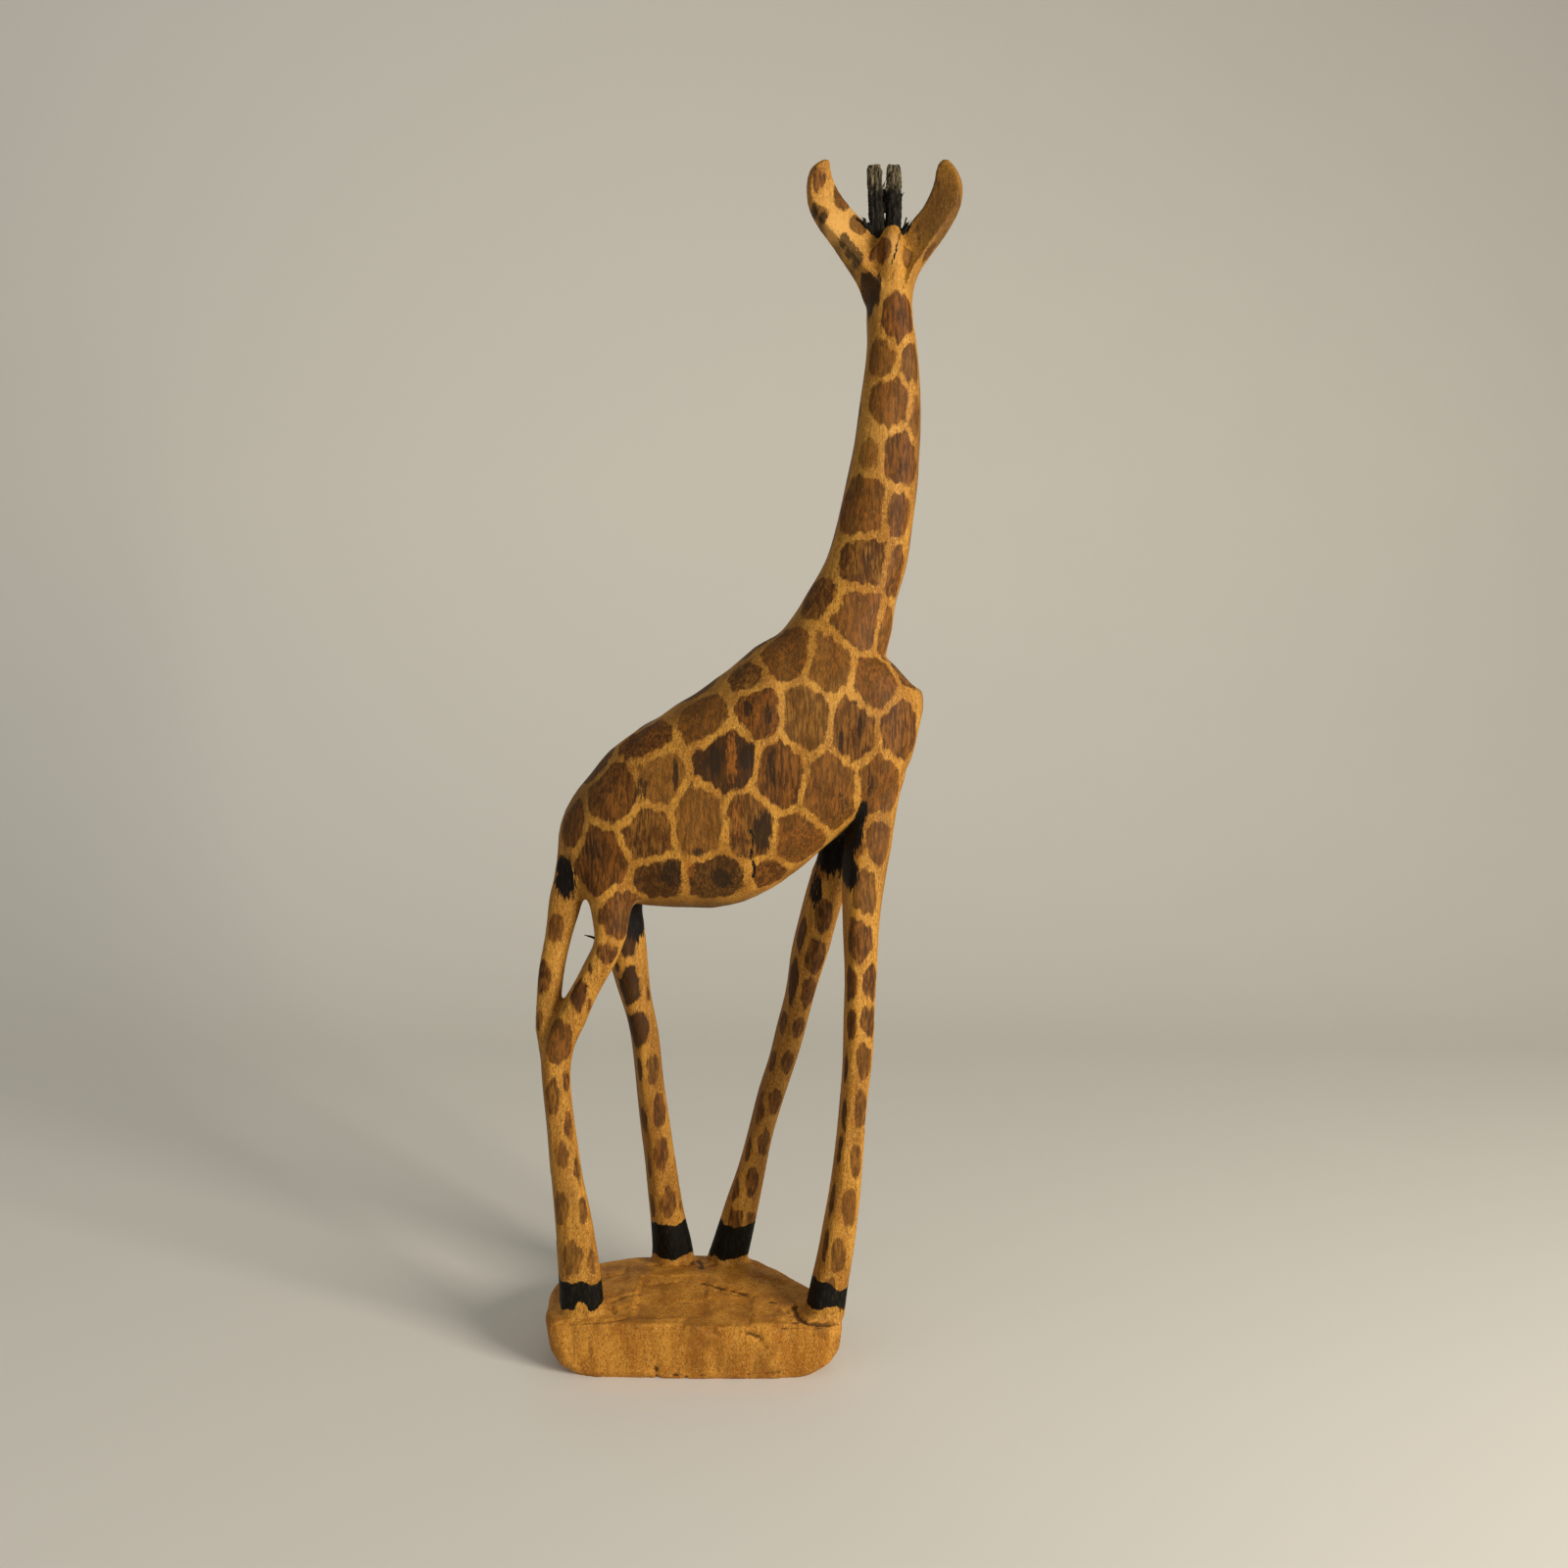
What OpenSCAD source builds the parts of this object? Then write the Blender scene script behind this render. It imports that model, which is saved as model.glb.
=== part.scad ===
// Carved wooden giraffe on a base, with its head turned to its left.
// Origin: on the underside of the base, about a millimetre from its centre. +X: the way the body faces.
// +Y: its left side, towards which the head is turned. +Z: up.
// Every place below is in the millimetres of a statue of design_h, and sized() brings it to statue_h.

/* [Statue] */
// Height from the underside of the base to the tips of the ears
statue_h = 305; // [240:5:380]

/* [Base] */
// Length of the base, along the body
base_l = 78; // [77:0.5:82]
// Depth of the base, across the body
base_d = 38; // [38:1:44]
// Height of the base at its front edge
base_h = 15; // [12:0.5:17]
// Rise of the crowned top above that edge
crown_rise = 2; // [1:0.5:4]

/* [Body] */
// Thickness of the barrel, across the body
barrel_t = 30; // [27:1:33]
// Thickness of the neck just under the head, across the body
neck_t = 13; // [12:0.5:14]

/* [Legs] */
// Thickness of a leg above its hoof, across the body
leg_t = 9; // [8:0.5:10]
// Distance of the right feet from the origin, across the body
right_stance = 12; // [11:0.5:13]
// Distance of the left feet from the origin, across the body
left_stance = 13.5; // [13:0.5:14.5]
// Height of the black paint on the right hooves
right_hoof_h = 9; // [6:0.5:12]
// Height of the black paint on the left hooves
left_hoof_h = 10; // [6:0.5:12]

/* [Head] */
// Length of the head from its back to the tip of the muzzle
head_l = 31; // [28:1:34]
// Thickness of an ear, half way up
ear_t = 8; // [7:0.5:9]
// Thickness of a horn
horn_t = 3.8; // [3:0.2:4.2]

/* [Hidden] */

design_h = 305;
lip_h = 0.8;
body_sides = 36;
limb_sides = 24;
small_sides = 16;
// Rings in each stretch between two stations
fine = 4;
coarse = 3;
// Power of the superellipse sections: 2 is an ellipse, and a higher power has squarer corners
round_power = 2.3;
whittled_power = 3;
// Larger than any part, for the blocks that cut one part from another
beyond = 200;

// ---------- Points of the carving, as [place along the loft, two edges or centre, ...] ----------

// Rim of the base seen from above, anticlockwise from the front right corner, as fractions of its half sizes
base_rim = [
    [0.97, -0.85], [0.98, -0.6], [0.9, -0.3], [0.77, 0], [0.58, 0.42], [0.42, 0.75], [0.25, 0.95], [0, 1],
    [-0.35, 0.95], [-0.66, 0.8], [-0.9, 0.5], [-1, 0.1], [-1, -0.4], [-0.96, -0.8],
    [-0.83, -0.93], [-0.42, -0.97], [0, -1], [0.4, -1], [0.82, -0.97]
];
// Walls of the base as [share of the base height, share of the rim's length, share of its depth]
base_walls = [
    [0, 0.77, 0.9], [0.06, 0.85, 0.94], [0.2, 0.93, 0.97], [0.45, 0.985, 0.99], [0.8, 1, 1],
    [0.95, 0.995, 0.99]
];
// Centre of the base's rim
base_x = 0.75;
base_y = -1;
// Share of the base's length at which the crown would die out along it, and the turn of its arc across it
crown_reach = 0.62;
crown_turn = 150;
// Rings of the crowned top, as shares of the rim's size
base_top_rings = [0.96, 0.88, 0.7, 0.5, 0.3, 0.12];

// Barrel as [x, underside z, back z, half thickness as a share of the barrel's, power of its section]
torso_stations = [
    [-34.5, 130, 137.5, 0.22, 2.2], [-32, 127, 145, 0.48, 2.2], [-26, 123.5, 153.5, 0.74, 2.2],
    [-17, 120.5, 163, 0.9, 2.3], [-4, 119, 171, 0.98, 2.3], [10, 119.5, 180.5, 1, 2.3],
    [20, 123.5, 188.5, 0.98, 2.4], [30, 131, 190, 0.94, 2.8], [40, 140, 189, 0.9, 3.3],
    [50, 147, 183.5, 0.8, 3.2], [56, 157, 177, 0.56, 3], [59, 168, 175, 0.28, 2.6],
    [59.5, 170, 173, 0.12, 2.4]
];
// Neck and back of the skull as [z, rear x, front x, half thickness as a share of the neck's]
neck_stations = [
    [172, 22, 49, 1.75], [184, 20.5, 50, 1.65], [191, 23.5, 51.5, 1.5], [198, 29, 52.5, 1.38],
    [208, 34.5, 55.5, 1.24], [220, 38, 57, 1.14], [234, 41, 58, 1.07], [250, 43.5, 58, 1],
    [260, 44.5, 57, 1], [266, 44.5, 56, 1.01]
];
skull_stations = [
    [266, 44.5, 56, 1.01], [269, 44.5, 56, 1.02], [272.5, 45.5, 55.5, 1.02], [276, 46, 54.5, 1],
    [281, 46.5, 54, 0.95], [285, 47, 53.5, 0.88], [288.5, 48.5, 52.5, 0.65]
];
// Muzzle as [share of the head's length, x, z, half width, half height]
muzzle_stations = [
    [0.13, 50, 279, 5, 6], [0.32, 50, 280, 6, 8], [0.46, 50, 280, 6, 7.5],
    [0.6, 50.5, 278.5, 5.5, 7], [0.76, 51, 276.5, 5, 5.5], [0.9, 51.5, 275, 4.5, 5],
    [0.97, 51.5, 274.5, 4, 4.5], [1, 51.5, 274.5, 3, 3]
];

// Ears as [z, outer x, inner x, share of the way from outer to inner edge at which the ridge runs,
// half thickness as a share of the ear's]
left_ear_stations = [
    [267, 46, 49.5, 0.6, 0.8], [271, 44, 50, 0.7, 1.5], [275, 42.5, 50.5, 0.55, 1.55],
    [279, 40, 50, 0.32, 1.4], [284, 36.5, 49, 0.18, 1.15], [289, 32.5, 45.5, 0.12, 0.95],
    [294, 30, 40.5, 0.1, 0.75], [299, 29.5, 37, 0.12, 0.6], [303, 30.5, 35.5, 0.25, 0.45],
    [305, 33, 35.5, 0.5, 0.25]
];
right_ear_stations = [
    [267, 55, 52, 0.5, 0.8], [271, 56, 51.5, 0.6, 1.4], [275, 56.5, 51, 0.4, 1.5],
    [279, 58, 50.5, 0.25, 1.35], [284, 61.5, 51.5, 0.18, 1.15], [289, 65, 54, 0.15, 0.95],
    [294, 67.5, 58, 0.14, 0.78], [299, 68, 60.5, 0.16, 0.62], [303, 66.5, 61.5, 0.3, 0.48],
    [305, 65, 62.5, 0.5, 0.3]
];
// Section of an ear from its outer edge round to its inner edge and back, as [share of the way across, share
// of its half thickness]: a ridge on one side, between two flat faces, and a shallow cup on the other
ear_outer_face = [[0, 0.1], [0.5, -0.5], [1, -1]];
ear_inner_face = [[0.33, -0.72], [0.66, -0.42], [0.96, -0.12]];
ear_cup = [[1, 0.15], [0.86, 0.5], [0.6, 0.32], [0.35, 0.32], [0.12, 0.55]];

// Legs as [z, rear x, front x, share of the way from foot to body, half thickness as a share of the leg's]
front_right_stations = [
    [10, 28.5, 39.5, 0, 1.14], [20, 30.5, 40.5, 0.02, 1.07], [32, 33, 42, 0.08, 0.99],
    [46, 35.5, 43.5, 0.16, 0.95], [60, 37.5, 44.5, 0.23, 0.95], [80, 39, 46.5, 0.35, 1],
    [100, 39.5, 47.5, 0.5, 1.08], [118, 39, 48.5, 0.73, 1.2], [132, 39, 50.5, 0.93, 1.27],
    [145, 41, 53, 1, 1.1], [156, 43, 55, 1, 0.7]
];
front_left_stations = [
    [10, 0, 12.5, 0, 1.1], [20, 3.5, 14.5, 0.01, 1.08], [32, 7.5, 17, 0.09, 1],
    [48, 12.5, 20, 0.2, 0.95], [62, 16, 23.5, 0.3, 0.95], [78, 20.5, 28.5, 0.43, 0.99],
    [92, 24, 32, 0.55, 1.05], [106, 26, 36, 0.68, 1.12], [118, 29, 39.5, 0.8, 1.2],
    [130, 32, 43.5, 0.91, 1.2], [146, 35.5, 47.5, 1, 0.7]
];
hind_right_stations = [
    [10, -34.5, -22, 0, 1.1], [22, -34.5, -23, 0.02, 1.05], [34, -35, -24.5, 0.07, 0.99],
    [50, -36, -27.5, 0.13, 0.95], [64, -37, -29.5, 0.2, 0.95], [76, -38, -30.5, 0.28, 0.98],
    [84, -38, -29.5, 0.35, 1.03], [91, -35.5, -26.5, 0.43, 1.08], [98, -31.5, -23.5, 0.52, 1.13],
    [106, -27, -19, 0.64, 1.2], [112, -24.5, -16.5, 0.73, 1.25], [119, -25.5, -14.5, 0.83, 1.3],
    [126, -26.5, -13, 0.92, 1.28], [133, -26, -12, 1, 1.2], [142, -22, -12, 1, 0.9]
];
hind_left_stations = [
    [10, -13.5, -0.5, 0, 1.1], [20, -13, -1.5, 0.02, 1.08], [34, -13.5, -4.5, 0.11, 0.98],
    [50, -15, -6.5, 0.21, 0.95], [66, -16.5, -8.5, 0.32, 0.97], [82, -18, -10, 0.45, 1.03],
    [94, -21, -12, 0.56, 1.11], [106, -24, -13, 0.71, 1.21], [118, -26.5, -13.5, 0.86, 1.28],
    [132, -26, -10.5, 1, 1.2], [141, -22, -12, 1, 1]
];
// Where the legs meet the body, across it
right_shoulder_y = -5.5;
right_hip_y = -7;
left_hip_y = 7.5;
// Turn of a leg's square section about the vertical, which brings one of its corners to the right side
right_turn = 15;
left_turn = 30;

// Tail as [z, rear x, front x, y, half thickness]
tail_stations = [
    [78, -37.5, -35.5, -10, 1.2], [84, -39, -34, -9.5, 2.3], [92, -39.5, -33.5, -8.5, 2.8],
    [102, -39, -32.5, -7, 3], [112, -37.5, -30.5, -5.5, 3.2], [121, -36.5, -27.5, -4.5, 3.4],
    [126, -35.5, -25, -4, 3.6], [133, -34.5, -25.5, -3, 3.6], [139, -31, -25, -3, 2.6]
];

// Horns as [z, shift towards the other horn, thickness as a share of the horn's]: a little slanted inwards
horn_stations = [[284, 1, 0.7], [288, 1, 1], [296, 0.5, 0.97], [303, 0, 0.94], [304, 0, 0.84]];
left_horn_x = 46.2;
right_horn_x = 51.1;
horn_y = 1;
// The thin web left between them, clear of the crown
web_low_z = 293;
web_high_z = 298.5;
web_t = 1.4;

// ---------- Lofts ----------

module sized() scale(statue_h / design_h) children();

// One closed unit section, anticlockwise, as a superellipse turned about its centre and brought back to size
function section(sides, power, turn = 0) =
    let (
        turned = [
            for (i = [0:sides - 1])
                let (
                    c = cos(360 * i / sides),
                    s = sin(360 * i / sides),
                    x = sign(c) * pow(abs(c), 2 / power),
                    y = sign(s) * pow(abs(s), 2 / power)
                ) [x * cos(turn) - y * sin(turn), x * sin(turn) + y * cos(turn)]
        ],
        reach_x = max([for (p = turned) p.x]),
        reach_y = max([for (p = turned) p.y])
    ) [for (p = turned) [p.x / reach_x, p.y / reach_y]];

// A point a share t of the way from station i to the next one, on a smooth curve through all stations
function on_curve(stations, i, t) =
    let (
        a = stations[max(i - 1, 0)],
        b = stations[i],
        c = stations[i + 1],
        d = stations[min(i + 2, len(stations) - 1)]
    ) (2 * b + (c - a) * t + (2 * a - 5 * b + 4 * c - d) * t * t + (3 * b - a - 3 * c + d) * t * t * t) / 2;

function smoothed(stations, steps) = [
    for (i = [0:len(stations) - 2], j = [0:steps - 1]) on_curve(stations, i, j / steps),
    stations[len(stations) - 1]
];

// A closed solid through rings of equal point counts, each anticlockwise seen from the last ring's side
module loft(rings) {
    sides = len(rings[0]);
    last = (len(rings) - 1) * sides;
    walls = [
        for (j = [0:len(rings) - 2], i = [0:sides - 1])
            let (here = j * sides + i, beside = j * sides + (i + 1) % sides)
                each [[here, here + sides, beside + sides], [here, beside + sides, beside]]
    ];
    polyhedron(
        [for (ring = rings) each ring],
        concat(walls, [[for (i = [0:sides - 1]) i]], [[for (i = [sides - 1:-1:0]) last + i]])
    );
}

// Level ring between two x edges, for whatever stands upright
function level_ring(z, x0, x1, y, half_t, sides, power, turn = 0) = [
    for (p = section(sides, power, turn)) [(x0 + x1) / 2 + p.x * (x1 - x0) / 2, y + p.y * half_t, z]
];

// Upright ring across the body between two z edges
function cross_ring(x, z0, z1, half_t, sides, power) = [
    for (p = section(sides, power)) [x, p.x * half_t, (z0 + z1) / 2 + p.y * (z1 - z0) / 2]
];

// Level ring around an ear, anticlockwise for an ear whose outer edge is on either side
function ear_ring(z, outer_x, inner_x, ridge, half_t) =
    let (
        shape = concat(
            [for (p = ear_outer_face) [p.x * ridge, p.y]],
            [for (p = ear_inner_face) [ridge + p.x * (1 - ridge), p.y]],
            ear_cup
        ),
        ring = [for (p = shape) [outer_x + p.x * (inner_x - outer_x), p.y * half_t, z]],
        last = len(ring) - 1
    ) outer_x < inner_x ? ring : [for (i = [last:-1:0]) ring[i]];

// Upright ring along the body, around the muzzle
function muzzle_ring(y, x, z, half_w, half_h, sides, power) = [
    for (p = section(sides, power)) [x + p.y * half_w, y, z + p.x * half_h]
];

// The parts of a solid above and below a level
module above(z) intersection() {
    children();
    translate([-beyond, -beyond, z]) cube(2 * beyond);
}

module below(z) intersection() {
    children();
    translate([-beyond, -beyond, z - 2 * beyond]) cube(2 * beyond);
}

// One closed carved surface, whatever was cut from it to get there
module carved() resize([0, 0, 0]) children();

// ---------- Whole shapes, before they are parted from their neighbours ----------

// Height of the crowned top: lowest along the front edge and highest a little behind the middle
function top_z(x, y) =
    let (
        along = 1 - pow(x / (crown_reach * base_l), 2),
        across = pow(sin(crown_turn * (y / base_d + 0.5)), 1.5)
    )
        base_h + crown_rise * along * across;

module base_shape() {
    rim = [for (p = smoothed(concat(base_rim, [base_rim[0]]), 3)) [p.x * base_l / 2, p.y * base_d / 2]];
    ring_of = [for (i = [0:len(rim) - 2]) rim[i]];
    walls = [
        for (w = base_walls) [for (p = ring_of) [p.x * w[1], p.y * w[2], w[0] * base_h]]
    ];
    crown = [
        for (share = base_top_rings)
            [for (p = ring_of) [p.x * share, p.y * share, top_z(p.x * share, p.y * share)]]
    ];
    translate([base_x, base_y, 0]) loft(concat(walls, crown));
}

module torso_shape() loft([
    for (s = smoothed(torso_stations, coarse))
        cross_ring(s[0], s[1], s[2], s[3] * barrel_t / 2, body_sides, s[4])
]);

module neck_shape() loft([
    for (s = smoothed(neck_stations, fine))
        level_ring(s[0], s[1], s[2], 0, s[3] * neck_t / 2, limb_sides, round_power)
]);

module skull_shape() loft([
    for (s = smoothed(skull_stations, coarse))
        level_ring(s[0], s[1], s[2], 0, s[3] * neck_t / 2, limb_sides, round_power)
]);

module muzzle_shape() {
    back_y = -head_l / 4;
    loft([
        for (s = smoothed(muzzle_stations, coarse))
            muzzle_ring(back_y + s[0] * head_l, s[1], s[2], s[3], s[4], limb_sides, round_power)
    ]);
}

module head_shape() union() {
    skull_shape();
    muzzle_shape();
}

module ear_shape(stations) loft([
    for (s = smoothed(stations, coarse)) ear_ring(s[0], s[1], s[2], s[3], s[4] * ear_t / 2)
]);

module leg_shape(stations, foot_y, hip_y, turn) loft([
    for (s = smoothed(stations, fine))
        let (y = foot_y + s[3] * (hip_y - foot_y))
            level_ring(s[0], s[1], s[2], y, s[4] * leg_t / 2, limb_sides, whittled_power, turn)
]);

module tail_shape() loft([
    for (s = smoothed(tail_stations, coarse))
        level_ring(s[0], s[1], s[2], s[3], s[4], small_sides, round_power)
]);

module front_right_shape() leg_shape(front_right_stations, -right_stance, right_shoulder_y, right_turn);

module front_left_shape() leg_shape(front_left_stations, left_stance, left_hip_y, left_turn);

module hind_right_shape() leg_shape(hind_right_stations, -right_stance, right_hip_y, right_turn);

module hind_left_shape() leg_shape(hind_left_stations, left_stance, left_hip_y, left_turn);

// A horn with its top at x, given the side on which the other horn stands
module horn_shape(x, side) loft([
    for (s = horn_stations)
        let (centre_x = x + side * s[1], half_t = s[2] * horn_t / 2)
            level_ring(s[0], centre_x - half_t, centre_x + half_t, horn_y, half_t, small_sides,
                whittled_power)
]);

module left_horn_shape() horn_shape(left_horn_x, 1);

module right_horn_shape() horn_shape(right_horn_x, 0);

// ---------- Nodes ----------

wood = "peru";
spotted = "sandybrown";
black_paint = "#262019";

module base() color(wood) sized() base_shape();

module torso() color(spotted) sized() torso_shape();

module neck() color(spotted) sized() carved() difference() {
    neck_shape();
    torso_shape();
}

module head() color(spotted) sized() carved() head_shape();

module ear(stations) color(spotted) sized() carved() difference() {
    ear_shape(stations);
    head_shape();
}

module left_ear() ear(left_ear_stations);

module right_ear() ear(right_ear_stations);

// A horn, parted from the head and ears that it grows from
module horn() color(black_paint) sized() carved() difference() {
    children();
    head_shape();
    ear_shape(left_ear_stations);
    ear_shape(right_ear_stations);
}

module left_horn() horn() left_horn_shape();

module right_horn() horn() right_horn_shape();

module horn_web() color(black_paint) sized() carved() difference() {
    translate([left_horn_x, horn_y - web_t / 2, web_low_z])
        cube([right_horn_x - left_horn_x, web_t, web_high_z - web_low_z]);
    left_horn_shape();
    right_horn_shape();
}

// The spotted part of a leg, given its whole shape and the height of its hoof
module leg(hoof_top) color(spotted) sized() carved() difference() {
    above(hoof_top) children();
    torso_shape();
}

// The black foot under the same shape, down to the base, with at most a thin lip past the base's rim
module hoof(hoof_top) color(black_paint) sized() carved() difference() {
    above(base_h - lip_h) below(hoof_top) children();
    base_shape();
}

right_hoof_top = base_h + right_hoof_h;
left_hoof_top = base_h + crown_rise + left_hoof_h;

module front_right_leg() leg(right_hoof_top) front_right_shape();

module front_left_leg() leg(left_hoof_top) front_left_shape();

module hind_right_leg() leg(right_hoof_top) hind_right_shape();

module hind_left_leg() leg(left_hoof_top) hind_left_shape();

module front_right_hoof() hoof(right_hoof_top) front_right_shape();

module front_left_hoof() hoof(left_hoof_top) front_left_shape();

module hind_right_hoof() hoof(right_hoof_top) hind_right_shape();

module hind_left_hoof() hoof(left_hoof_top) hind_left_shape();

module tail() color(spotted) sized() carved() difference() {
    tail_shape();
    torso_shape();
    hind_right_shape();
}

base();
torso();
neck();
head();
left_ear();
right_ear();
left_horn();
right_horn();
horn_web();
front_right_leg();
front_left_leg();
hind_right_leg();
hind_left_leg();
front_right_hoof();
front_left_hoof();
hind_right_hoof();
hind_left_hoof();
tail();
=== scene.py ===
"""Carved wooden giraffe: whittled and spotted wood, black horns and hooves, in a plain soft studio.

The carving is made from the fixed frame's own solids. They are fused, softened where they join, cut with a
knife's marks and then parted again where the frame parts them, so that every piece has its own closed mesh.
"""
import math
import random

import bmesh
import bpy
import numpy as np
from mathutils import Matrix, Vector
from mathutils.bvhtree import BVHTree


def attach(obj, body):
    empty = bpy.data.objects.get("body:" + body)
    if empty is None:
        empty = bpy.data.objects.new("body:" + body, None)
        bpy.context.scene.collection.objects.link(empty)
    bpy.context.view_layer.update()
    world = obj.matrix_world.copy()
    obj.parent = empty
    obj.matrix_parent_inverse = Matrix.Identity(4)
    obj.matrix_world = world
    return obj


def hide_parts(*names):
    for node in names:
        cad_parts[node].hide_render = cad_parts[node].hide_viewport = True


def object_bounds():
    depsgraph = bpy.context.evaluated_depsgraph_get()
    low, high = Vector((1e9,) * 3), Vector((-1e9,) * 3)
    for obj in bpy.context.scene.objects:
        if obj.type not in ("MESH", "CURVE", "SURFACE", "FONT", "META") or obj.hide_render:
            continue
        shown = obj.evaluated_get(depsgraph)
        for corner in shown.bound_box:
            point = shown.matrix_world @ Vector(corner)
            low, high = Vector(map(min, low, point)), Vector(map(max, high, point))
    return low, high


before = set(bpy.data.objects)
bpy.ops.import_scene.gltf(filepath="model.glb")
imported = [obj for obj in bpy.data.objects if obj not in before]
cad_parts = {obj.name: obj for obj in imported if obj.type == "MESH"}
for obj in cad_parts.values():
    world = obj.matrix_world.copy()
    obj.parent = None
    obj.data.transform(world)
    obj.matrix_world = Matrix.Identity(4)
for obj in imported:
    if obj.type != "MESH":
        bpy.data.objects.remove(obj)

# ---------- Sizes: lengths and places below are in the millimetres of a statue of DESIGN_HEIGHT ----------

DESIGN_HEIGHT = 305
cad_low, cad_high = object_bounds()
METRES = (cad_high.z - cad_low.z) / DESIGN_HEIGHT

LEGS = ("front_right_leg", "front_left_leg", "hind_right_leg", "hind_left_leg")
HOOVES = ("front_right_hoof", "front_left_hoof", "hind_right_hoof", "hind_left_hoof")
EARS = ("left_ear", "right_ear")
HORNS = ("left_horn", "right_horn", "horn_web")
WOODEN = ("base", "torso", "neck", "head", "tail") + EARS + LEGS + HOOVES

# Triangle size of the whole carving, of the horns and of the splinter
VOXEL = 0.5
HORN_VOXEL = 0.16
SPLINTER_VOXEL = 0.08
# Points of one ring of a leg in the frame
RING = 24
# Distances, and depths of paint, are measured no further than this
FAR = 4.0

# ---------- Spots, stains, marks, painted shade and painted highlights ---

# Spots of the right side, on the barrel and chest: x, z, half width, half height, and tone from 0, faint, to 1,
# black
TORSO_SPOTS = [
    (-11, 163, 7, 5.5, 0.5), (4, 168, 6, 6.5, 0.4), (18, 169, 6, 7, 0.6), (29.5, 168.5, 6.5, 8.5, 0.4),
    (41, 166, 6, 8.5, 0.5), (52.5, 165.5, 5.5, 7, 0.5), (35, 182.5, 6, 8, 0.3), (25, 184.5, 7, 6.5, 0.4),
    (46, 177, 5.5, 7.5, 0.4), (10.5, 159, 8, 8, 0.9), (23, 155, 7, 9, 0.5), (35, 150.5, 7, 10, 0.4),
    (47.5, 152, 5.5, 8, 0.4), (-7, 154, 6, 7, 0.2), (-18.5, 149.5, 7, 8, 0.5), (3, 142.5, 6.5, 9, 0.3),
    (15.5, 142, 6.5, 8.5, 0.6), (28, 139, 6.5, 7, 0.4), (-10, 139.5, 7, 7.5, 0.5),
    (-22, 133.5, 7.5, 8.5, 0.5), (-7.5, 129, 7, 6, 0.8), (6.5, 129, 7.5, 6, 0.8), (19.5, 129.5, 5, 4, 0.6),
    (-29, 141, 4, 7, 0.5), (-24, 157, 5, 5.5, 0.6), (55, 181, 4, 5, 0.5), (15, 179, 5, 4, 0.5),
]
# On the neck
NECK_SPOTS = [
    (48, 256.5, 3.4, 4.5, 0.3), (55, 256, 2.6, 5.5, 0.4), (50, 246, 4.6, 5.5, 0.4),
    (56.5, 243, 2, 5, 0.4), (53, 232, 4, 6.2, 0.6), (45, 233, 2.5, 4, 0.1), (43, 220.5, 6, 7, 0.4),
    (52, 219, 3.4, 5.6, 0.5), (44, 207, 5.8, 6.2, 0.5), (51.5, 204, 3, 6.8, 0.5), (33, 198, 5.5, 5, 0.5),
    (42, 193, 7, 7.4, 0.4), (49.5, 190, 3.4, 7, 0.4),
]
# On the back of the head and the ears
HEAD_SPOTS = [
    (45.5, 272.5, 3.2, 5, 0.95), (47.7, 282.3, 2.6, 2.9, 0.5), (52, 265.8, 4, 5.6, 0.5),
    (32.8, 299.5, 1.7, 2.7, 0.5), (38, 296.3, 2, 3.1, 0.5), (33, 291.5, 2.2, 1.6, 0.3),
    (42.3, 289.6, 2.1, 2.5, 0.4), (59.7, 282.6, 1.7, 3.2, 0.7), (53.8, 281, 1.5, 2.6, 0.3),
]
# Along the front of the neck and chest, on the face and along the back, as x, y, z, half width, half height
# and tone. Nearly all of them are only seen from other sides.
OTHER_SPOTS = [
    (59, 2.5, 252, 3, 5, 0.4), (59, 2.5, 239, 3, 5, 0.5), (59, 2.5, 226, 3.2, 5, 0.4),
    (57, 2.5, 213, 3.2, 5, 0.4), (55, 3, 200, 3.4, 5, 0.5), (60, 3, 176, 4, 5, 0.5), (60, 6, 164, 4, 5, 0.4),
    (56, 3, 153, 4, 5, 0.5), (44, 3, 262, 3, 4.5, 0.5), (56, 3, 264, 2.6, 4, 0.4), (44, 6, 273, 2.4, 3, 0.5),
    (56, 6, 273, 2.4, 3, 0.5), (45, 13, 277.5, 2.4, 2, 0.4), (56, 13, 277.5, 2.4, 2, 0.4),
    (50, 6, 290, 2.6, 2.6, 0.5), (51, 13, 286, 2.2, 2, 0.3), (49, 5, 258, 3.4, 5, 0.5),
    (66, 3, 295, 1.8, 3.2, 0.5), (34, 3, 296, 1.8, 3.2, 0.5), (59, 3, 282, 1.8, 3, 0.4),
    (40, 3, 282, 1.8, 3, 0.4), (37, 1, 214, 3, 5.5, 0.5), (40, 1, 228, 3, 5.5, 0.4),
    (42.5, 1, 243, 3, 5, 0.5), (-14, 1, 166, 6, 5, 0.5), (2, 1, 176, 6, 5, 0.5), (17, 1, 187, 6, 5, 0.4),
]
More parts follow.
